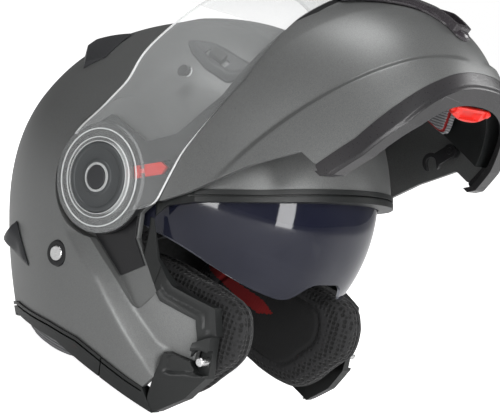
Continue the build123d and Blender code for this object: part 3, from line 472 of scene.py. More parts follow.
def mesh_fabric(name, dark, light, cell=0.0042):
    """Spacer mesh: round holes in a honeycomb, whose sunk centres are coloured near-black as painted shade."""
    m, nt, b = new_material(name)
    v = nt.nodes.new("ShaderNodeTexVoronoi")
    v.feature = "F1"
    v.inputs["Scale"].default_value = 1 / cell
    v.inputs["Randomness"].default_value = 0.12
    nt.links.new(coords(nt), v.inputs["Vector"])
    hole = map_node(nt, v.outputs["Distance"], 0.30, 0.52, 0.0, 1.0)
    mix = nt.nodes.new("ShaderNodeMix")
    mix.data_type = "RGBA"
    nt.links.new(hole, mix.inputs["Factor"])
    # The hole centres take the dark colour: painted shade in the holes.
    mix.inputs["A"].default_value = (*dark, 1)
    fibre = noise(nt, 2200, 2)
    nt.links.new(ramp_node(nt, fibre, 0.3, 0.7, tuple(c * 0.7 for c in light), light), mix.inputs["B"])
    nt.links.new(mix.outputs["Result"], b.inputs["Base Color"])
    b.inputs["Roughness"].default_value = 0.85
    b.inputs["Sheen Weight"].default_value = 0.10
    b.inputs["Sheen Roughness"].default_value = 0.4
    bump(nt, b, hole, 0.9, 0.0009)
    return m


def knit(name, dark, light, pitch, sheen=0.3):
    """Ribbed knit: fine ribs with a stitch across them."""
    m, nt, b = new_material(name)
    w = nt.nodes.new("ShaderNodeTexWave")
    w.bands_direction = "Z"
    w.inputs["Scale"].default_value = 0.31416 / pitch
    w.inputs["Distortion"].default_value = 0.6
    w.inputs["Detail Scale"].default_value = 6
    nt.links.new(coords(nt), w.inputs["Vector"])
    fibre = noise(nt, 1800, 3)
    add = nt.nodes.new("ShaderNodeMath")
    add.operation = "MULTIPLY_ADD"
    nt.links.new(fibre, add.inputs[0])
    add.inputs[1].default_value = 0.5
    nt.links.new(w.outputs["Fac"], add.inputs[2])
    nt.links.new(ramp_node(nt, add.outputs[0], 0.2, 1.1, dark, light), b.inputs["Base Color"])
    b.inputs["Roughness"].default_value = 0.9
    b.inputs["Sheen Weight"].default_value = sheen
    bump(nt, b, add.outputs[0], 0.7, 0.0006)
    return m


def foam():
    m, nt, b = new_material("foam")
    v = nt.nodes.new("ShaderNodeTexVoronoi")
    v.inputs["Scale"].default_value = 330
    nt.links.new(coords(nt), v.inputs["Vector"])
    nt.links.new(ramp_node(nt, v.outputs["Distance"], 0.1, 0.8, (0.018, 0.018, 0.019), (0.008, 0.008, 0.008)),
                 b.inputs["Base Color"])
    b.inputs["Roughness"].default_value = 0.8
    bump(nt, b, v.outputs["Distance"], 0.4, 0.0005)
    return m


def clear(name, color, facing_low, facing_high, roughness=0.03, gloss=1.0):
    """Clear or tinted sheet: more of it shows toward its edges, where it is seen at a slant. A pale colour shown this
    way is a painted reflection; a dark one is the sheet's own tint.
    """
    m, nt, b = new_material(name)
    lw = nt.nodes.new("ShaderNodeLayerWeight")
    lw.inputs["Blend"].default_value = 0.35
    smear = noise(nt, 22, 4)
    nt.links.new(ramp_node(nt, smear, 0.3, 0.75, color, tuple(min(1, c * 1.15 + 0.01) for c in color)),
                 b.inputs["Base Color"])
    nt.links.new(map_node(nt, lw.outputs["Facing"], 0.0, 1.0, facing_low, facing_high), b.inputs["Alpha"])
    nt.links.new(map_node(nt, smear, 0.3, 0.7, roughness, roughness + 0.03), b.inputs["Roughness"])
    b.inputs["Specular IOR Level"].default_value = 0.9 * gloss
    b.inputs["Coat Weight"].default_value = gloss
    b.inputs["Coat Roughness"].default_value = 0.02
    return m


PAINT = paint()
BLACK = plastic("black_trim", (0.009, 0.010, 0.010), (0.015, 0.016, 0.016), 0.42)
GREY = plastic("grey_plastic", (0.044, 0.047, 0.049), (0.060, 0.064, 0.066), 0.40)
VENT = plastic("vent_plastic", (0.022, 0.023, 0.025), (0.036, 0.037, 0.040), 0.40)
SATIN = plastic("satin_black", (0.008, 0.008, 0.009), (0.014, 0.014, 0.015), 0.34, strength=0.05)
RED = plastic("red_plastic", (0.62, 0.018, 0.012), (0.72, 0.028, 0.018), 0.36, strength=0.05)
STEEL = metal("steel", (0.52, 0.52, 0.52), (0.68, 0.68, 0.68), 0.28)
FOAM = foam()
FABRIC = mesh_fabric("black_fabric", (0.001, 0.001, 0.001), (0.017, 0.017, 0.018), 0.0036)
KNIT = knit("grey_fabric", (0.07, 0.07, 0.075), (0.24, 0.24, 0.25), 0.0020)
SMOOTH_CLOTH = knit("smooth_cloth", (0.003, 0.003, 0.0033), (0.007, 0.007, 0.0075), 0.0009, sheen=0.05)
RED_CLOTH = knit("red_cloth", (0.20, 0.002, 0.003), (0.36, 0.003, 0.004), 0.0009, sheen=0.05)
# The clear visor's pale colour, shown more where it is seen at a slant, is a painted reflection beside the real gloss
# of its coat.
CLEAR = clear("clear_visor", (0.72, 0.74, 0.74), 0.07, 0.30)
# Near-white sheets for the visor's rings and cut edges, the anti-fog pin ring and the hub's middle ring: painted
# highlights.
RING_GLINT = clear("ring_painted_highlight", (0.80, 0.82, 0.82), 0.42, 0.62, 0.15)
EDGE_GLINT = clear("painted_highlight_edge", (0.93, 0.95, 0.95), 0.82, 0.95, 0.12)
SMOKE = clear("smoke_visor", (0.006, 0.007, 0.017), 0.92, 0.98, 0.05, 0.26)
# Light grey for the sun visor's lower cut edge: a painted highlight.
SMOKE_EDGE_GLINT = clear("smoke_edge_highlight", (0.22, 0.23, 0.27), 0.9, 0.97, 0.2)
TRIM = plastic("dark_grey_trim", (0.017, 0.017, 0.018), (0.028, 0.026, 0.028), 0.32, strength=0.06)
GLOSS = plastic("smoked_gloss", (0.018, 0.016, 0.018), (0.030, 0.026, 0.030), 0.26, strength=0.04, coat=0.25)


def dress(ob, material, body, replaces=()):
    """Materials and body of a piece, with the CAD parts it replaces hidden; the faces keep their places in a list of
    materials.
    """
    me = ob.data
    slots = np.zeros(len(me.polygons), np.int32)
    me.polygons.foreach_get("material_index", slots)
    me.materials.clear()
    for m in material if isinstance(material, tuple) else (material,):
        me.materials.append(m)
    me.polygons.foreach_set("material_index", slots)
    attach(ob, body)
    for name in replaces:
        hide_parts(name)
    return ob


looks = {"outer_shell": PAINT, "chin_bar_shell": PAINT, "visor": CLEAR, "sun_visor": SMOKE, "impact_liner": FOAM,
         "crown_pad": FABRIC, "neck_roll": KNIT, "release_lever": RED, "chin_vent_cover": VENT,
         "chin_vent_shutter": SATIN, "chin_liner": BLACK, "rim_trim": BLACK, "brow_trim": BLACK,
         "chin_lower_trim": SATIN, "sun_visor_slider": SATIN}
pairs = {"opening_strip": BLACK, "side_plate": SATIN, "latch_housing": BLACK, "latch_pin": STEEL, "rivet_washer": SATIN,
         "strap_rivet": STEEL, "sun_hinge_pin": BLACK, "cheek_pad": FABRIC, "cheek_base": FOAM,
         "forehead_vent": VENT, "rear_fin": VENT, "side_outlet": VENT, "pivot_hub": VENT, "chin_pad": KNIT,
         "pivot_cover": GREY, "anti_fog_pin": SATIN, "forehead_slider": SATIN, "latch_hook": SATIN, "visor_lock": RED}
for name, m in pairs.items():
    looks[name + "_right"] = looks[name + "_left"] = m
for name, ob in frame["nodes"].items():
    ob.data.materials.clear()
    ob.data.materials.append(looks.get(name, BLACK))

# ---------------------------------------------------------------- outlines shared with the CAD, as shares
PAINT_EDGE = ((0.51, 1.10), (0.77, 1.185), (0.985, 1.275), (1.5, 1.5))
PAINT_SIDE = ((0.57, 0.178), (0.60, 0.32), (0.71, 0.31), (0.71, 0.405), (0.68, 0.505), (0.50, 0.54),
              (0.37, 0.677), (0.27, 0.78), (0.25, 0.90), (0.34, 1.02))
RIM_TOP = ((-1.5, 0.09), (-0.80, 0.09), (-0.51, 0.185), (-0.14, 0.21), (0.085, 0.208), (0.22, 0.18),
           (0.43, 0.128), (0.52, 0.11))
RIM_LOW = ((0.587, 0.0), (0.50, 0.018), (0.26, 0.07), (-0.07, 0.135), (-0.52, 0.12), (-0.79, 0.0), (-1.5, 0.0))
RECESS = ((-0.06, 0.80), (-0.02, 0.73), (0.236, 0.565), (0.539, 0.335), (0.60, 0.322), (0.60, 0.27),
          (0.95, 0.15), (0.95, 0.80), (0.45, 0.95), (0.20, 1.0))
RIDGE_OUT = ((-0.27, 1.10), (-0.20, 0.823), (-0.10, 0.688), (0.148, 0.541), (0.376, 0.338), (0.567, 0.185))
POCKET = ((-0.10, 0.80), (-0.02, 0.73), (0.236, 0.565), (0.39, 0.445), (0.55, 0.70), (0.60, 1.0), (0.50, 1.25),
          (0.36, 1.40), (0.10, 1.45), (-0.10, 1.38), (-0.25, 1.20))
BRIDGE = ((-0.06, 0.80), (-0.02, 0.73), (0.236, 0.565), (0.539, 0.335), (0.62, 0.335), (0.64, 0.15), (0.567, 0.12),
          (0.567, 0.185), (0.376, 0.338), (0.148, 0.541), (-0.10, 0.688), (-0.20, 0.823))


def grown(outline, amount):
    """Outline moved outward, for one whose corners are wide."""
    pts = [Vector(p) for p in outline]
    area = sum(a.x * b.y - a.y * b.x for a, b in zip(pts, pts[1:] + pts[:1]))
    sign = 1 if area > 0 else -1
    result = []
    for i, p in enumerate(pts):
        u = (p - pts[i - 1]).normalized()
        v = (pts[(i + 1) % len(pts)] - p).normalized()
        n = Vector((u.y + v.y, -(u.x + v.x))).normalized() * sign
        result.append(tuple(p + n * amount / max(0.5, n.dot(Vector((u.y, -u.x)) * sign))))
    return result


def side_depth(co, no):
    """How far the shell's skin is sunk: a sloped ridge band that falls into the recess below the pivot."""
    f, z = -co[:, 1], co[:, 2]
    inner = signed_distance(f, z, placed(RECESS))
    band = signed_distance(f, z, placed(BRIDGE))
    to_out = line_distance(f, z, placed(RIDGE_OUT))
    across = np.clip(to_out / np.maximum(to_out + np.maximum(inner, 0), 1e-6), 0, 1)
    lift = 1.6 * ramp((f + 30) / 40)
    crest = lift * np.exp(-(to_out / 16.0) ** 2)
    depth = np.where(inner <= 0, 6.0, np.where(band <= 0, (6.0 + lift) * across - lift, -crest))
    side = np.abs(co[:, 0]) > 55
    return np.where(side, depth, 0.0)


def shell_depth(co, no):
    d = side_depth(co, no)
    x, f, z = np.abs(co[:, 0]), -co[:, 1], co[:, 2]
    on_top = z > 190
    crown = ramp((34 - x) / 10) * ramp((f + 45) / 25) * ramp((96 - f) / 26)
    d = d - np.where(on_top, 1.6 * crown, 0)
    trail = np.exp(-((x - (62 + (f + 60) * 0.05)) / 7.0) ** 2) * ramp((-52 - f) / 8) * ramp((f + 132) / 40)
    d = d + np.where((z > 150) & (f < -50), 2.4 * trail, 0)
    return d


def shell():
    skin = dome("outer_shell_skin", 0, 420, 260, shell_depth)
    inner = dome("inner_skin", 4.0, 220, 140, lambda co, no: side_depth(co, no) * 0.98)
    less_sides(inner, rounded(grown(placed(POCKET), 4), 8), POCKET_FLOOR - 4)
    less_sides(inner, disc_outline(PIVOT, 46, 96), POCKET_FLOOR - 4)
    less(skin, inner)
    kept(skin, placed(RIM_TOP + PAINT_SIDE + PAINT_EDGE + ((1.5, 2.2), (-1.5, 2.2))))
    pockets(skin)
    less_sides(skin, disc_outline(RIVET_PLACE, 9.3, 64), 113.0)
    return dress(smooth(skin, 28), PAINT, "helmet", ["outer_shell"])


shell()

# ---------------------------------------------------------------- more outlines shared with the CAD
EDGE = ((0.094, 0.642), (0.268, 0.688), (0.563, 0.681), (0.78, 0.752), (1.15, 0.752))
CHIN_REAR = ((1.15, 0.10), (0.91, 0.057), (0.807, 0.057), (0.657, 0.064), (0.526, 0.113), (0.526, 0.213),
             (0.385, 0.369), (0.188, 0.539))
CHIN_LOW = ((0.512, 0.06), (0.54, 0.02), (0.634, -0.015), (0.775, -0.03), (0.94, 0.0), (1.15, 0.02))
SHELF = ((0.12, 0.638), (0.268, 0.655), (0.563, 0.648), (0.78, 0.715), (1.15, 0.715))
ARM = ((0.10, 0.641), (0.268, 0.68), (0.563, 0.674), (0.78, 0.742), (1.15, 0.742), (1.15, 0.80), (0.78, 0.80),
       (0.47, 0.74), (0.29, 0.79), (0.20, 0.90), (0.18, 1.16), (0.05, 1.24), (-0.08, 1.20), (-0.12, 0.85))
SHIELD = ((0.0, 1.26), (0.07, 1.262), (0.185, 1.22), (0.315, 1.199), (0.41, 1.248), (0.545, 1.262), (0.645, 1.284),
          (0.74, 1.298), (0.85, 1.348), (1.15, 1.348), (1.15, 0.758), (0.83, 0.758), (0.60, 0.687), (0.285, 0.694),
          (0.085, 0.644), (0.0, 0.74))
COVER = ((0.0, 0.78), (0.45, 0.78), (0.45, 0.755), (0.475, 0.70), (0.30, 0.575), (0.155, 0.49), (0.086, 0.355),
         (0.069, 0.255), (0.0, 0.24))
BROW_BAND = ((0.34, 1.02), (0.51, 1.10), (0.77, 1.185), (0.985, 1.275), (1.5, 1.5), (1.5, 1.44), (1.0, 1.213),
             (0.79, 1.13), (0.535, 1.045), (0.385, 0.98), (0.335, 0.90), (0.25, 0.90))
BROW_LINE = ((0.34, 1.02), (0.51, 1.10), (0.77, 1.185), (0.985, 1.275), (1.5, 1.5))
SIDE_BAND = ((0.25, 0.90), (0.335, 0.90), (0.42, 0.727), (0.54, 0.627), (0.743, 0.586), (0.78, 0.457), (0.71, 0.406),
             (0.68, 0.505), (0.50, 0.54), (0.37, 0.677), (0.27, 0.78))
CHEEK = ((0.63, 0.07), (0.73, 0.15), (0.79, 0.24), (0.895, 0.36), (0.90, 0.49), (0.845, 0.62), (0.72, 0.655),
         (0.30, 0.71), (-0.08, 0.69), (-0.24, 0.50), (-0.22, 0.30), (0.08, 0.26), (0.24, 0.12), (0.45, 0.07))
CHEEK_CENTRE = (0.36 * BROW_REACH, 0.40 * PIVOT_HEIGHT)
RED_PANEL = ((-22, 78), (4, 75), (44, 68), (57, 61), (43, 57), (24, 61), (6, 67), (-14, 73))
PAD_EDGE = ((1.4, 1.65), (0.62, 1.26), (0.20, 1.16), (-0.10, 0.90), (-0.45, 0.60), (-0.75, 0.40), (-1.5, 0.40))
SUN_PLACE = (0.079 * BROW_REACH, 0.989 * PIVOT_HEIGHT)
SUN_RADIUS, SUN_HALF, SUN_WALL = 121.0, 99.5, 2.0
SUN_SIDE = ((-0.05, 0.06), (1.0, 0.40), (1.4, 0.0), (1.0, -0.60), (-0.05, -0.06))
SUN_FRONT = ((1.1, 0.90), (0.95, 0.823), (0.79, 0.745), (0.594, 0.688), (0.396, 0.66), (0.307, 0.672),
             (0.178, 0.765))


def outline_faces(ob, outline, index, near=0.25, low=-1e9):
    """Give the cut faces that lie along a side outline another material slot."""
    me = ob.data
    n = len(me.polygons)
    mid = np.zeros(n * 3)
    no = np.zeros(n * 3)
    me.polygons.foreach_get("center", mid)
    me.polygons.foreach_get("normal", no)
    mid, no = mid.reshape(-1, 3) * 1000, no.reshape(-1, 3)
    d = line_distance(-mid[:, 1], mid[:, 2], list(outline) + [outline[0]])
    pick = (d < near) & (np.abs(no[:, 0]) < 0.05)
    slots = np.zeros(n, np.int32)
    me.polygons.foreach_get("material_index", slots)
    slots[pick] = index
    me.polygons.foreach_set("material_index", slots)


def one_slot(ob):
    ob.data.polygons.foreach_set("material_index", np.zeros(len(ob.data.polygons), np.int32))
    return ob


def lathe(name, place, profile, side, count=120):
    """Ring of revolution about an axis along X; the profile holds (radius, distance from the middle plane)."""
    turn = np.linspace(0, 2 * math.pi, count, endpoint=False)
    rows = [np.stack([np.full(count, side * out), -(place[0] + r * np.cos(turn)), place[1] + r * np.sin(turn)], 1)
            for r, out in profile]
    total = len(profile)
    faces = []
    for r in range(total):
        q = (r + 1) % total
        for c in range(count):
            d = (c + 1) % count
            faces.append((r * count + c, r * count + d, q * count + d, q * count + c))
    return fix_normals(mesh_object(name, np.concatenate(rows) / 1000, faces))


def chin_crease(co, no):
    """Two long creases from the cheeks to the chin, with a valley between them."""
    x, f, z = np.abs(co[:, 0]), -co[:, 1], co[:, 2]
    turn = np.degrees(np.arctan2(f, x * 1.84))
    upper = cubic((0, 45, 57.5, 71.9, 79.8, 90), (104, 92, 84, 72, 64, 58), turn)
    lower = cubic((0, 24.9, 38.5, 51.9, 72.2, 90), (74, 62, 50, 37.5, 25, 19), turn)
    t = (z - lower) / (upper - lower)
    valley = 2.9 * np.clip(1 - t, 0, 1) ** 1.5
    valley = np.where(t < 0, 2.9 * ramp(1 - (lower - z) / 4.5), valley)
    valley *= ramp((turn - 12) / 22) * ramp((88 - turn) / 22)
    shelf = 1.3 * np.clip((z - upper) / 16, 0, 1) ** 1.2 * ramp((turn - 20) / 20)
    return valley + np.where(t > 1, shelf, 0)


def arm_cuts(ob, disc, bore):
    for side in (-1, 1):
        near, far = sorted((side * 60, side * FAR))
        if disc:
            less(ob, prism("disc_cut", disc_outline(PIVOT, disc, 96), "X", near, far))
        if bore:
            less(ob, prism("bore_cut", disc_outline(PIVOT, bore, 64), "X", near, far))
    return ob


def chin_bar():
    """Painted wall with its creases, and the black arms that run up under the visor."""
    skin = face_form("chin_bar_skin", CHIN, 0, 190, 460, chin_crease, (2, 110))
    less(skin, face_form("c", CHIN, 4.0, 90, 240))
    region = rounded(placed(EDGE + CHIN_REAR, CHIN_REACH), 2.0, 4)
    kept(skin, region)
    one_slot(skin)
    raise_up(dress(smooth(skin, 26), PAINT, "chin_bar", ["chin_bar_shell"]))
    arm = face_form("chin_bar_arms", VISOR, 3.2, 110, 260)
    less(arm, face_form("c", VISOR, 6.2, 110, 260))
    kept(arm, rounded(placed(ARM + ((0.05, 0.70),), CHIN_REACH), 2.0, 4))
    arm_cuts(arm, 38.4, 0)
    for side in (-1, 1):
        boolean(arm, lathe("disc", PIVOT, [(10.1, 111.1), (38.7, 111.1), (38.7, 113.9), (10.1, 113.9)], side), "UNION")
    ledge = face_form("ledge", CHIN, 1.2, 110, 260, None, (80, 112))
    less(ledge, face_form("c", VISOR, 6.1, 110, 260))
    boolean(ledge, prism("region", placed([(a, b - 0.006) for a, b in EDGE] + list(SHELF[::-1]), CHIN_REACH), "X",
                         -FAR, FAR), "INTERSECT")
    boolean(arm, ledge, "UNION")
    lock = math.radians(-44)
    for side in (-1, 1):
        box = [(25.6, -4.5), (59, -4.5), (59, 4.5), (25.6, 4.5)]
        slot = [(PIVOT[0] + a * math.cos(lock) - b * math.sin(lock), PIVOT[1] + a * math.sin(lock) + b * math.cos(lock))
                for a, b in box]
        near, far = sorted((side * 100, side * FAR))
        less(arm, prism("slot", slot, "X", near, far))
    one_slot(arm)
    raise_up(dress(smooth(arm, 26), SATIN, "chin_bar"))
    for side, word in ((-1, "right"), (1, "left")):
        boss = lathe("hook_boss_" + word, (0.577 * CHIN_REACH, 0.277 * PIVOT_HEIGHT),
                     rounded([(0.3, 88.8), (2.4, 88.8), (2.4, 92.4), (4.9, 92.4), (4.9, 98.8), (0.3, 98.8)], 0.3, 2),
                     side, 40)
        raise_up(dress(smooth(boss), SATIN, "chin_bar"))


def chin_trim():
    """Dark band along the lower edge, with a flat facet and a turned-in lip."""
    def facet(co, no):
        z = co[:, 2]
        low = np.interp(-co[:, 1], (0, 115, 135, 165, 200, 213), (10, 3, -2, -4, 0, 2))
        return np.clip((low + 1.8 - z) / 1.8, 0, 1)
    band = face_form("chin_trim_band", CHIN, -0.8, 80, 460, facet, (-8, 30))
    lip = copy_of(band, "lip")
    less(band, face_form("c", CHIN, 4.2, 60, 240, None, (-14, 40)))
    kept(band, rounded(placed(CHIN_REAR[:5] + CHIN_LOW, CHIN_REACH), 1.2, 3))
    less(lip, face_form("c", CHIN, 12.0, 60, 240, None, (-14, 40)))
    under = placed(tuple((a, b + 0.035) for a, b in CHIN_LOW[::-1]) + CHIN_LOW, CHIN_REACH)
    kept(lip, under)
    boolean(band, lip, "UNION")
    one_slot(band)
    raise_up(dress(smooth(band, 26), TRIM, "chin_bar", ["chin_lower_trim"]))


def vent_cover():
    """Glossy cover on the chin: broad top, narrow tip, a slot for the shutter and a hooded intake."""
    half = [(a * 116.0, b * PIVOT_HEIGHT) for a, b in COVER]
    outline = rounded(half + [(-a, b) for a, b in reversed(half[1:-1])], 3.0, 4)

    def form(co, no):
        x, z = co[:, 0], co[:, 2]
        edge = -signed_distance(x, z, outline)
        waist = np.interp(z, (34, 50, 70, 90, 98, 112), (3, 5, 10, 24, 36, 44))
        break_line = 1.3 * ramp((np.abs(x) - waist) / 5)
        return break_line + 1.0 * np.clip(1 - edge / 2.2, 0, 1) - 1.0
    skin = face_form("chin_vent_skin", CHIN, -3.0, 150, 420, form, (30, 114))
    less(skin, face_form("c", CHIN, -0.3, 90, 300, None, (24, 120)))
    boolean(skin, prism("region", outline, "Y", 106, 260), "INTERSECT")
    slot = rounded([(-34.4, 97.8), (34.4, 97.8), (34.4, 105.2), (-34.4, 105.2)], 0.5, 3)
    less(skin, prism("slot", slot, "Y", 106, 260))
    less(skin, prism("mouth", rounded([(-6.4, 43), (6.4, 43), (9.4, 62), (-9.4, 62)], 2.5), "Y", 106, 260))
    one_slot(skin)
    raise_up(dress(smooth(skin, 26), GLOSS, "chin_bar", ["chin_vent_cover"]))
    hood = face_form("chin_scoop", CHIN, -6.4, 110, 300, lambda co, no: 2.6 * ramp((co[:, 2] - 58) / 12), (30, 80))
    less(hood, face_form("c", CHIN, -0.5, 90, 240, None, (24, 90)))
    boolean(hood, prism("region", rounded([(-8.6, 39.5), (8.6, 39.5), (12.2, 68), (-12.2, 68)], 3), "Y", 106, 260),
            "INTERSECT")
    less(hood, prism("mouth", rounded([(-6.2, 43.4), (6.2, 43.4), (9.2, 61.6), (-9.2, 61.6)], 2.5), "Y", 106, 260))
    one_slot(hood)
    raise_up(dress(smooth(hood, 26), GLOSS, "chin_bar"))


def visor():
    """Clear shield with round discs and raised rings; its cut edges and rings are coloured near-white as painted
    highlights.
    """
    skin = face_form("visor_shield", VISOR, 0, 130, 420)
    less(skin, face_form("c", VISOR, 2.2, 130, 420))
    outline = rounded(placed(SHIELD, VISOR_REACH), 7, 5)
    kept(skin, outline)
    arm_cuts(skin, 37.9, 0)
    one_slot(skin)
    # Faces along the cut outline get the near-white second material: a painted highlight on the edge.
    outline_faces(skin, outline, 1, 0.35)
    raise_up(dress(smooth(skin, 26), (CLEAR, EDGE_GLINT), "visor", ["visor"]))
    disc = [(28.0, 114.6), (38.0, 114.6), (38.0, 118.1), (37.6, 118.5), (34.9, 118.5), (34.4, 118.0), (32.7, 118.0),
            (32.3, 118.5), (28.0, 118.5)]
    # These rings are coloured near-white as painted highlights.
    glint_rings = {"visor_rim": [(24.7, 114.7), (25.4, 114.7), (25.4, 119.6), (24.7, 119.6)],
              "visor_ring_in": [(27.4, 118.4), (28.1, 118.4), (28.1, 119.5), (27.4, 119.5)],
              "visor_ring_out": [(33.1, 117.9), (34.1, 117.9), (34.1, 118.8), (33.1, 118.8)]}
    for side, word in ((-1, "right"), (1, "left")):
        plate = lathe("visor_disc_" + word, PIVOT, disc, side, 144)
        raise_up(dress(smooth(plate, 26), CLEAR, "visor"))
        tube = lathe("visor_seat_" + word, PIVOT, [(25.6, 114.6), (28.0, 114.6), (28.0, 119.2), (25.6, 119.2)],
                     side, 144)
        raise_up(dress(smooth(tube, 26), CLEAR, "visor"))
        for name, profile in glint_rings.items():
            ring = lathe(name + "_" + word, PIVOT, rounded(profile, 0.3, 3), side, 144)
            raise_up(dress(smooth(ring, 26), RING_GLINT, "visor"))
        # The anti-fog pin's ring is coloured near-white as a painted highlight.
        pin = lathe("fog_ring_" + word, (0.465 * VISOR_REACH, 1.007 * PIVOT_HEIGHT),
                    [(2.6, 97.2), (4.0, 97.2), (4.0, 99.6), (2.6, 99.6)], side, 48)
        raise_up(dress(smooth(pin), EDGE_GLINT, "visor"))


def hub_covers():
    """Disc covers with a bevelled rim and a stepped face, and a ring round the middle coloured pale as a painted
    highlight.
    """
    for side, word in ((-1, "right"), (1, "left")):
        profile = [(8.35, 114.4), (24.5, 114.4), (24.5, 118.6), (23.3, 120.0), (21.0, 120.0), (20.5, 119.3),
                   (12.6, 119.3), (12.1, 120.0), (8.35, 120.0)]
        cover = lathe("hub_cover_" + word, PIVOT, rounded(profile, 0.25, 2), side, 120)
        raise_up(dress(smooth(cover, 24), GREY, "chin_bar", ["pivot_cover_" + word]))
        # Pale ring round the middle: a painted highlight.
        ring = lathe("hub_ring_" + word, PIVOT, rounded([(8.4, 119.2), (10.2, 119.2), (10.2, 120.7), (8.4, 120.7)],
                                                                  0.4, 3),
                     side, 96)
        raise_up(dress(smooth(ring, 30), RING_GLINT, "chin_bar"))


def barrel(name, inset, rows=150, columns=260):
    n = 2.4
    turn = np.linspace(0, math.pi, rows)
    x = (SUN_HALF - inset) * np.sign(np.cos(turn)) * np.abs(np.cos(turn)) ** (2 / n)
    r = (SUN_RADIUS - inset) * np.sin(turn).clip(0) ** (2 / n)
    around = np.linspace(0, 2 * math.pi, columns, endpoint=False)
    f = SUN_PLACE[0] + r[:, None] * np.cos(around)[None]
    z = SUN_PLACE[1] + r[:, None] * np.sin(around)[None]
    pts = np.stack([np.repeat(x[:, None], columns, 1).ravel(), -f.ravel(), z.ravel()], 1)
    return fix_normals(mesh_object(name, pts / 1000, grid_faces(rows, columns, True)))


def sun_visor():
    skin = barrel("sun_lens", 0)
    less(skin, barrel("c", SUN_WALL))
    side = prism("side", [(SUN_PLACE[0] + a * SUN_RADIUS, SUN_PLACE[1] + b * SUN_RADIUS) for a, b in SUN_SIDE], "X",
                 -FAR, FAR)
    boolean(side, prism("hub", disc_outline(SUN_PLACE, 9.0), "X", -FAR, FAR), "UNION")
    boolean(skin, side, "INTERSECT")
    front = [(a * SUN_HALF, b * PIVOT_HEIGHT) for a, b in SUN_FRONT]
    outline = [(SUN_HALF * 2, SUN_RADIUS * 2)] + front + [(-a, b) for a, b in reversed(front)]
    outline = rounded(outline + [(-SUN_HALF * 2, SUN_RADIUS * 2)], 9, 6)
    boolean(skin, prism("front", outline, "Y", -60, 240), "INTERSECT")
    for s in (-1, 1):
        near, far = sorted((s * 70, s * FAR))
        less(skin, prism("pin", disc_outline(SUN_PLACE, 3.1, 48), "X", near, far))
    one_slot(skin)
    # Cut faces along the lower edge get the light grey second material: a painted highlight on the edge.
    me = skin.data
    for p in me.polygons:
        q = p.center * 1000
        r = math.hypot(-q.y - SUN_PLACE[0], q.z - SUN_PLACE[1])
        wall = (max(0.0, 1 - (abs(q.x) / SUN_HALF) ** 2.4)) ** (1 / 2.4) * SUN_RADIUS
        if abs(p.normal.y) < 0.05 and r < wall + 0.2 and q.z < SUN_PLACE[1] - 4:
            p.material_index = 1
    dress(smooth(skin, 26), (SMOKE, SMOKE_EDGE_GLINT), "sun_visor", ["sun_visor"])


def front_dome(name, inset, depth=None):
    return dome(name, inset, 420, 240, depth)


def sun_cut(ob):
    big = barrel("c", -0.9)
    less(ob, big)


def brow():
    """Frame over the eyeport: a narrow seal under the paint, a groove, and a broad band."""
    skin = front_dome("brow_band", -1.5)
    less(skin, dome("c", 10.0, 220, 140))
    kept(skin, rounded(placed(BROW_BAND), 2, 3))
    for side in (-1, 1):
        near, far = sorted((side * POCKET_FLOOR, side * FAR))
        less(skin, prism("pocket", rounded(placed(POCKET), 8), "X", near, far))
        less(skin, prism("hub_pocket", disc_outline(PIVOT, 42, 96), "X", near, far))
    line = [Vector(p) for p in placed(BROW_LINE)]
    low, high = [], []
    for i, p in enumerate(line):
        a, b = line[max(i - 1, 0)], line[min(i + 1, len(line) - 1)]
        n = Vector(((b - a).y, -(b - a).x)).normalized()
        high.append(tuple(p + n * 3.4))
        low.append(tuple(p + n * 4.7))
    cut = prism("groove", high + low[::-1], "X", -FAR, FAR)
    less(cut, dome("c", 1.0, 300, 170))
    less(skin, cut)
    sun_cut(skin)
    one_slot(skin)
    dress(smooth(skin, 26), BLACK, "helmet", ["brow_trim"])


def strips():
    """Strips down each side of the eyeport, with a bead along the inner edge."""
    def form(co, no):
        d = signed_distance(-co[:, 1], co[:, 2], placed(SIDE_BAND))
        return 1.4 * np.clip((-3.6 - d) / 2.2, 0, 1)
    skin = dome("strip_skin", 4.5, 420, 240, form)
    less(skin, dome("c", 11.0, 220, 140))
    kept(skin, placed(SIDE_BAND))
    for side in (-1, 1):
        near, far = sorted((side * POCKET_FLOOR, side * FAR))
        less(skin, prism("pocket", rounded(placed(POCKET), 8), "X", near, far))
        less(skin, prism("hub_pocket", disc_outline(PIVOT, 42, 96), "X", near, far))
        seam = [(0.44, 0.60), (0.447, 0.60), (0.462, 0.74), (0.455, 0.74)]
        near, far = sorted((side * 106, side * FAR))
        less(skin, prism("seam", placed(seam), "X", near, far))
    one_slot(skin)
    dress(smooth(skin, 26), BLACK, "helmet", ["opening_strip_right", "opening_strip_left"])


def rim():
    """Trim round the lower edge, with a shadow groove under the paint and a joint on each side."""
    skin = dome("rim_band", -1.5, 420, 240)
    less(skin, dome("c", 7.0, 260, 160))
    kept(skin, placed(RIM_TOP + RIM_LOW))
    groove_line = [(a, b - 0.016) for a, b in RIM_TOP]
    cut = prism("groove", placed(groove_line + [(a, b - 0.009) for a, b in groove_line[::-1]]), "X", -FAR, FAR)
    less(cut, dome("c", 0.6, 300, 170))
    less(skin, cut)
    for side in (-1, 1):
        near, far = sorted((side * 60, side * FAR))
        seam = prism("seam", placed([(0.262, 0.02), (0.270, 0.02), (0.275, 0.30), (0.267, 0.30)]), "X", near, far)
        less(seam, dome("c", 0.2, 300, 170))
        less(skin, seam)
    yaw = math.radians(17)
    u, v = (-math.sin(yaw), math.cos(yaw)), (math.cos(yaw), math.sin(yaw))
    slot = []
    for a, b in ((-6.2, -1.4), (28.2, -1.4), (28.2, 1.4), (-6.2, 1.4)):
        x, y = 93.5 + u[0] * a + v[0] * b, 34.0 + u[1] * a + v[1] * b
        slot.append((-y, x))
    less(skin, prism("slot", slot, "Z", 8, 30))
    one_slot(skin)
    dress(smooth(skin, 26), BLACK, "helmet", ["rim_trim"])


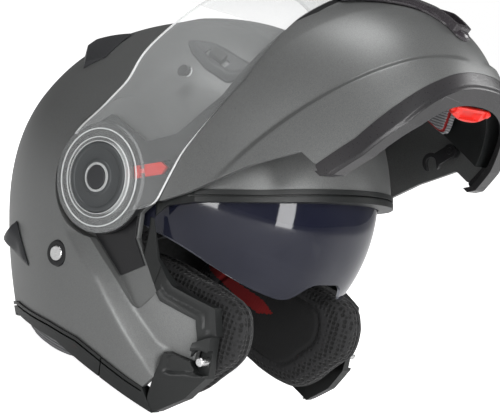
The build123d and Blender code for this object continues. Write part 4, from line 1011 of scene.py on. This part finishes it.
def leaf_vents():
    """Leaf-shaped covers with a raised rim, a sunk middle and a slot."""
    leaf = ((0.05, 0.60), (0.18, 0.555), (0.35, 0.545), (0.43, 0.52), (0.46, 0.58), (0.40, 0.67), (0.26, 0.69),
            (0.14, 0.66))
    for side, word in ((-1, "right"), (1, "left")):
        outline = rounded([(a * BROW_REACH, side * b * 121.0) for a, b in leaf], 4, 4)

        def form(co, no):
            d = signed_distance(-co[:, 1], co[:, 0], outline)
            return np.where(d > -1.6, 0.9 * np.clip(1 + d / 1.6, 0, 1), 1.0 * np.clip((-3.0 - d) / 2.0, 0, 1))
        skin = dome("leaf_" + word, -2.2, 420, 240, form)
        less(skin, dome("c", -0.3, 300, 170))
        boolean(skin, prism("region", outline, "Z", 190, 330), "INTERSECT")
        place = (0.27 * BROW_REACH, side * 0.615 * 121.0)
        box = [(place[0] + a * 10.2, place[1] + b * 2.7) for a, b in ((-1, -1), (1, -1), (1, 1), (-1, 1))]
        less(skin, prism("slot", rounded(box, 1), "Z", 190, 330))
        one_slot(skin)
        dress(smooth(skin, 26), VENT, "helmet", ["forehead_vent_" + word])


def latch_housing():
    """Black corner piece with the latch's box sunk in it, and a bowl round the striker pin."""
    outline = placed(((0.60, 0.318), (0.71, 0.308), (0.712, 0.402), (0.78, 0.454), (0.80, 0.25),
                      (0.725, 0.12), (0.60, 0.01),
                      (0.566, 0.0), (0.553, 0.07), (0.568, 0.178)))
    box = rounded([(85, 30.5), (112, 37.5), (112.5, 52), (104, 53.5), (86, 43.5)], 3.5, 5)

    def form(co, no):
        d = signed_distance(-co[:, 1], co[:, 2], box)
        return np.where(np.abs(co[:, 0]) > 60, 2.0 * np.clip(-d / 1.2, 0, 1) - 0.6 * dip(np.abs(d - 1.6), 1.2, 1.0), 0)
    skin = dome("latch_corner", -1.0, 620, 360, form)
    less(skin, dome("c", 8.0, 260, 160))
    kept(skin, outline)
    for side in (-1, 1):
        near, far = sorted((side * 87.0, side * FAR))
        less(skin, prism("bowl", disc_outline(LATCH_PIN_PLACE, 7.6, 48), "X", near, far))
        near, far = sorted((side * 87.0, side * 93.0))
        less(skin, prism("bowl_back", disc_outline(LATCH_PIN_PLACE, 9.4, 48), "X", near, far))
        near, far = sorted((side * 60.0, side * FAR))
        less(skin, prism("pin", disc_outline(LATCH_PIN_PLACE, 3.3, 40), "X", near, far))
    one_slot(skin)
    dress(smooth(skin, 26), BLACK, "helmet", ["latch_housing_right", "latch_housing_left"])


def outlets():
    """Scoops at the rear of each side, which stand further out toward the back."""
    outline = rounded(placed(((-0.60, 0.60), (-0.71, 0.50), (-0.69, 0.44), (-0.38, 0.415))), 3, 4)

    def form(co, no):
        f, z = -co[:, 1], co[:, 2]
        d = -signed_distance(f, z, outline)
        rise = 4.5 * ramp((-72 - f) / 16) * ramp(d / 6)
        return 2.0 * np.clip(1 - d / 2.5, 0, 1) - rise
    skin = dome("outlet_scoops", -2.4, 420, 240, form)
    less(skin, dome("c", -0.3, 300, 170))
    kept(skin, outline)
    one_slot(skin)
    dress(smooth(skin, 26), VENT, "helmet", ["side_outlet_right", "side_outlet_left"])


def dip(d, width, deep):
    return deep * np.exp(-(d / width) ** 2)


def lever():
    """Curved pull with a hollow underside."""
    f0, z0 = 0.8385 * CHIN_REACH, 0.004 * PIVOT_HEIGHT
    rows = []
    count = 41
    for i in range(count):
        t = -1 + 2 * i / (count - 1)
        bow = 1 - abs(t) ** 2.6
        thin = 0.45 + 0.55 * bow
        section = rounded([(f0 + 2.7, z0 - 2.3 * thin), (f0 + 2.7, z0 + 2.9 * thin), (f0 - 6.9 * thin, z0 + 4.6 * thin),
                           (f0 - 7.3 * thin, z0 - 2.7 * thin)], 1.2, 3)
        rows.append([(t * 22.8, -a, b) for a, b in section])
    n = len(rows[0])
    pts = np.array([p for r in rows for p in r]) / 1000
    faces = grid_faces(count, n, True) + [tuple(range(n)), tuple(range(count * n - 1, count * n - n - 1, -1))]
    skin = fix_normals(mesh_object("lever_pull_handle", pts, faces))
    hollow = prism("hollow", rounded([(-15, -6), (15, -6), (12, 1.6), (-12, 1.6)], 2), "Y", f0 - 5.4, f0 + 1.0)
    less(skin, hollow)
    for side in (-1, 1):
        boolean(skin, lathe("barrel", (f0, z0), rounded([(0.2, 18), (2.9, 18), (2.9, 22.9), (1.45, 22.9), (1.45, 26.8),
                                                          (0.2, 26.8)], 0.15, 2), side, 40), "UNION")
    one_slot(skin)
    raise_up(dress(smooth(skin, 30), RED, "release_lever", ["release_lever"]))


# ---------------------------------------------------------------- soft pieces
def resampled(outline, count):
    """Closed outline as evenly spaced points."""
    pts = np.array(list(outline) + [outline[0]], float)
    run = np.concatenate([[0], np.cumsum(np.linalg.norm(np.diff(pts, axis=0), axis=1))])
    at = np.linspace(0, run[-1], count, endpoint=False)
    return np.stack([np.interp(at, run, pts[:, 0]), np.interp(at, run, pts[:, 1])], 1)


def stacked(name, outline, centre, levels, to_space, count=120):
    """Closed cushion form: the outline shrunk toward its centre at each depth."""
    flat = resampled(outline, count) - np.array(centre)
    rows = [np.concatenate([flat * share + centre, np.full((count, 1), out)], 1) for out, share in levels]
    pts = to_space(np.concatenate(rows))
    faces = grid_faces(len(levels), count, True)
    faces += [tuple(range(count)), tuple(range(len(levels) * count - 1, (len(levels) - 1) * count - 1, -1))]
    return triangulated(mesh_object(name, pts / 1000, faces), "BEAUTY")


def puffed(ob, cap, voxel=0.004, pressure=4.0):
    """Swell a closed form as padded fabric, no point further than the cap, then subdivide it."""
    m = ob.modifiers.new("r", "REMESH")
    m.mode = "VOXEL"
    m.voxel_size = voxel
    apply_modifiers(ob)
    n = len(ob.data.vertices)
    before = np.zeros(n * 3)
    ob.data.vertices.foreach_get("co", before)
    c = ob.modifiers.new("c", "CLOTH")
    c.settings.use_pressure = True
    c.settings.uniform_pressure_force = pressure
    c.settings.effector_weights.gravity = 0
    scene = bpy.context.scene
    for number in range(1, 21):
        scene.frame_set(number)
    dg = bpy.context.evaluated_depsgraph_get()
    after = np.zeros(n * 3)
    ob.evaluated_get(dg).data.vertices.foreach_get("co", after)
    ob.modifiers.clear()
    scene.frame_set(1)
    move = (after - before).reshape(-1, 3)
    length = np.linalg.norm(move, axis=1)
    move *= np.minimum(1, cap / 1000 / np.maximum(length, 1e-9))[:, None]
    ob.data.vertices.foreach_set("co", before + move.ravel())
    ob.data.update()
    m = ob.modifiers.new("s", "SUBSURF")
    m.levels = 2
    apply_modifiers(ob)
    return ob


def painted_where(ob, materials, choose):
    """Cloth panels: choose(face centres in mm) gives the material slot of each face."""
    me = ob.data
    mid = np.zeros(len(me.polygons) * 3)
    me.polygons.foreach_get("center", mid)
    slots = choose(mid.reshape(-1, 3) * 1000).astype(np.int32)
    me.materials.clear()
    for m in materials:
        me.materials.append(m)
    me.polygons.foreach_set("material_index", slots)
    return ob


def scaled(outline, centre, share):
    return [(centre[0] + (a - centre[0]) * share, centre[1] + (b - centre[1]) * share) for a, b in outline]


def cheeks():
    """Cheek pads: spacer mesh round a smooth middle, a sewn seam between them, a red panel at the brow end."""
    outline = rounded(placed(CHEEK), 9, 5)
    inner = scaled(outline, CHEEK_CENTRE, 0.63)
    levels = [(78.6, 0.90), (77.0, 0.94), (72.0, 0.968), (66.0, 0.972), (60.0, 0.93), (56.0, 0.86), (53.6, 0.76),
              (52.6, 0.62), (52.2, 0.40), (52.1, 0.1)]
    for side, word in ((-1, "right"), (1, "left")):
        pad = stacked("cheek_cushion_" + word, outline, CHEEK_CENTRE, levels,
                      lambda p: np.stack([side * p[:, 2], -p[:, 0], p[:, 1]], 1))
        puffed(pad, 1.1)

        def seams(co, no):
            f, z, x = -co[:, 1], co[:, 2], np.abs(co[:, 0])
            front = ramp((64 - x) / 5)
            d = np.abs(signed_distance(f, z, inner))
            waist = dip(x - 69, 1.3, 1.3)
            return dip(d, 1.6, 1.5) * front + waist
        sunk(pad, seams)

        def panels(c):
            f, z, x = -c[:, 1], c[:, 2], np.abs(c[:, 0])
            smooth_part = (signed_distance(f, z, inner) < 0) & (x < 64)
            red = (signed_distance(f, z, RED_PANEL) < 0) & (x < 60)
            return np.where(red, 2, np.where(smooth_part, 1, 0))
        dress(smooth(pad, 60), FABRIC, "helmet", ["cheek_pad_" + word])
        painted_where(pad, (FABRIC, SMOOTH_CLOTH, RED_CLOTH), panels)


def chin_pads():
    """Grey ribbed pads inside the chin bar, with red piping along one side."""
    turn = math.radians(30)
    u = np.array([math.sin(turn), -math.cos(turn), 0])
    w = np.array([math.cos(turn), math.sin(turn), 0])
    origin = np.array([-65.8, -151.3, 58.0])
    outline = rounded([(-19.2, -21.2), (19.2, -21.2), (19.2, 21.2), (-19.2, 21.2)], 9, 6)
    levels = [(0.5, 0.86), (1.2, 0.92), (3.0, 0.965), (4.4, 0.965), (6.0, 0.90), (7.2, 0.78), (7.8, 0.6), (8.0, 0.3)]

    def local(co, side):
        q = co * np.array([-side, 1, 1]) - origin
        return q @ u, q[:, 2], q @ w
    for side, word in ((-1, "right"), (1, "left")):
        pad = stacked("chin_cushion_" + word, outline, (0, 0), levels,
                      lambda p: (origin + p[:, :1] * u + p[:, 1:2] * np.array([0, 0, 1]) + p[:, 2:] * w)
                      * np.array([-side, 1, 1]))
        puffed(pad, 0.5, 0.0028)

        def seams(co, no):
            a, b, c = local(co, side)
            rim = np.abs(signed_distance(a, b, scaled(outline, (0, 0), 0.80)))
            return dip(rim, 0.9, 0.8) * ramp((c - 4) / 2)
        sunk(pad, seams)

        def panels(c):
            a, b, d = local(c, side)
            s = np.abs(signed_distance(a, b, scaled(outline, (0, 0), 0.80)))
            return np.where((s < 1.0) & (d > 5), 1, 0)
        dress(smooth(pad, 60), KNIT, "chin_bar", ["chin_pad_" + word])
        painted_where(pad, (KNIT, RED_CLOTH), panels)
        raise_up(pad)


def neck_cushion():
    """Padded roll under the nape, sewn along its outer side and across at the middle."""
    rows, count = 140, 40
    pts = []
    for i in range(rows):
        a = math.pi * i / (rows - 1)
        lean = 1 - 0.35 * (abs(2 * i / (rows - 1) - 1) ** 14)
        for j in range(count):
            b = 2 * math.pi * j / count
            r = 82.9 + 9.2 * lean * math.copysign(abs(math.cos(b)) ** 0.8, math.cos(b))
            z = 17.0 + 12.8 * lean * math.copysign(abs(math.sin(b)) ** 0.8, math.sin(b))
            y = r * math.sin(a) * 107.6 / 93.4
            pts.append((r * math.cos(a), max(y, 0.6), z))
    faces = grid_faces(rows, count, True)
    faces += [tuple(range(count)), tuple(range(rows * count - 1, (rows - 1) * count - 1, -1))]
    roll = mesh_object("neck_cushion", np.array(pts) / 1000, faces)
    fix_normals(roll)
    puffed(roll, 0.8)

    def seams(co, no):
        turn = np.degrees(np.arctan2(co[:, 1], np.abs(co[:, 0])))
        return dip(co[:, 2] - 24.5, 1.1, 0.9) + dip((turn - 90) * 1.6, 1.6, 1.0) + dip((turn - 40) * 1.6, 1.6, 0.8)
    sunk(roll, seams)
    dress(smooth(roll, 60), KNIT, "helmet", ["neck_roll"])


def crown_cushion():
    """Crown lining of spacer mesh with sewn channels from front to back."""
    def form(co, no):
        x, f = co[:, 0], -co[:, 1]
        edge = 0.0
        for at in (0, 26, 52, 76):
            edge = edge + dip(np.abs(x) - at, 2.2, 1.8)
        for at in (-60, 0, 60):
            edge = edge + dip(f - at, 2.2, 1.2)
        return -edge
    inside = dome("c", 42.0, 300, 180, lambda co, no: form(co, no) + 0.9)
    pad = dome("crown_cushion", 34.8, 300, 180)
    less(pad, inside)
    kept(pad, placed(PAD_EDGE + ((-1.5, 2.1), (1.4, 2.1))))
    one_slot(pad)
    dress(smooth(pad, 40), FABRIC, "helmet", ["crown_pad"])


chin_bar()
chin_trim()
vent_cover()
visor()
hub_covers()
sun_visor()
brow()
strips()
rim()
leaf_vents()
latch_housing()
outlets()
lever()
cheeks()
chin_pads()
neck_cushion()
crown_cushion()

# ---------------------------------------------------------------- floor, light and camera
def floor():
    bpy.ops.mesh.primitive_plane_add(size=12, location=(0, 0, -0.0005))
    ob = bpy.context.object
    ob.name = "floor"
    m, nt, b = new_material("floor")
    b.inputs["Base Color"].default_value = (0.86, 0.86, 0.86, 1)
    b.inputs["Roughness"].default_value = 0.9
    paths = nt.nodes.new("ShaderNodeLightPath")
    top = nt.nodes.new("ShaderNodeMath")
    top.operation = "MULTIPLY_ADD"
    nt.links.new(paths.outputs["Is Glossy Ray"], top.inputs[0])
    top.inputs[1].default_value = 0.22
    nt.links.new(paths.outputs["Is Camera Ray"], top.inputs[2])
    top2 = nt.nodes.new("ShaderNodeMath")
    top2.operation = "MAXIMUM"
    nt.links.new(top.outputs[0], top2.inputs[0])
    nt.links.new(paths.outputs["Is Transmission Ray"], top2.inputs[1])
    glow = nt.nodes.new("ShaderNodeEmission")
    glow.inputs["Color"].default_value = (1, 1, 1, 1)
    glow.inputs["Strength"].default_value = 1.0
    out = nt.nodes["Material Output"]
    add = nt.nodes.new("ShaderNodeAddShader")
    none = nt.nodes.new("ShaderNodeEmission")
    none.inputs["Strength"].default_value = 0.0
    pick = nt.nodes.new("ShaderNodeMixShader")
    nt.links.new(top2.outputs[0], pick.inputs[0])
    nt.links.new(none.outputs[0], pick.inputs[1])
    nt.links.new(glow.outputs[0], pick.inputs[2])
    nt.links.new(b.outputs[0], add.inputs[0])
    nt.links.new(pick.outputs[0], add.inputs[1])
    nt.links.new(add.outputs[0], out.inputs["Surface"])
    ob.data.materials.append(m)


def lamp(name, place, target, size, watts):
    data = bpy.data.lights.new(name, "AREA")
    data.shape = "RECTANGLE"
    data.size = data.size_y = size
    data.energy = watts
    ob = bpy.data.objects.new(name, data)
    ob.location = place
    ob.rotation_mode = "QUATERNION"
    ob.rotation_quaternion = (Vector(target) - Vector(place)).to_track_quat("-Z", "Y")
    bpy.context.scene.collection.objects.link(ob)


def world():
    w = bpy.data.worlds.new("world")
    bpy.context.scene.world = w
    w.use_nodes = True
    nt = w.node_tree
    back = nt.nodes["Background"]
    paths = nt.nodes.new("ShaderNodeLightPath")
    top = nt.nodes.new("ShaderNodeMath")
    top.operation = "MAXIMUM"
    nt.links.new(paths.outputs["Is Camera Ray"], top.inputs[0])
    nt.links.new(paths.outputs["Is Transmission Ray"], top.inputs[1])
    back.inputs["Color"].default_value = (1, 1, 1, 1)
    nt.links.new(map_node(nt, top.outputs[0], 0, 1, 0.14, 1.0), back.inputs["Strength"])


def camera():
    az, el, roll = (math.radians(v) for v in (-54.74, -2.65, 0.6))
    back = Vector((math.sin(az) * math.cos(el), -math.cos(az) * math.cos(el), math.sin(el)))
    right = Vector((math.cos(az), math.sin(az), 0))
    up = back.cross(right)
    r2 = right * math.cos(roll) + up * math.sin(roll)
    u2 = -right * math.sin(roll) + up * math.cos(roll)
    target = Vector((0, -60, -20))
    place = target + back * 1221.5
    lean = Matrix.Rotation(-LEAN, 3, "X")
    cam = bpy.data.cameras.new("camera")
    ob = bpy.data.objects.new("camera", cam)
    turn = Matrix([lean @ r2, lean @ u2, lean @ back]).transposed()
    ob.rotation_mode = "QUATERNION"
    ob.rotation_quaternion = turn.to_quaternion()
    ob.location = (lean @ place + Vector((0, 0, PIVOT_HEIGHT))) / 1000
    cam.sensor_width = 36
    cam.lens = 36 * 1.39 * 1221.5 / 500
    cam.shift_x = -19.45 / 500
    cam.shift_y = 5.88 / 500
    cam.clip_start, cam.clip_end = 0.05, 60
    bpy.context.scene.collection.objects.link(ob)
    bpy.context.scene.camera = ob


floor()
world()
camera()
lamp("key", (-0.9, -1.9, 1.25), (0, 0, 0.16), 0.8, 32)
lamp("low", (-0.5, -2.2, 0.25), (0, -0.05, 0.16), 0.7, 22)
lamp("top", (-0.5, 0.1, 1.9), (0, 0, 0.2), 0.9, 14)
lamp("far", (1.5, -0.8, 1.1), (0, 0, 0.18), 0.8, 12)
lamp("side", (-2.0, -0.30, 0.20), (0, 0, 0.10), 0.5, 12)
bpy.context.scene.view_settings.view_transform = "Standard"
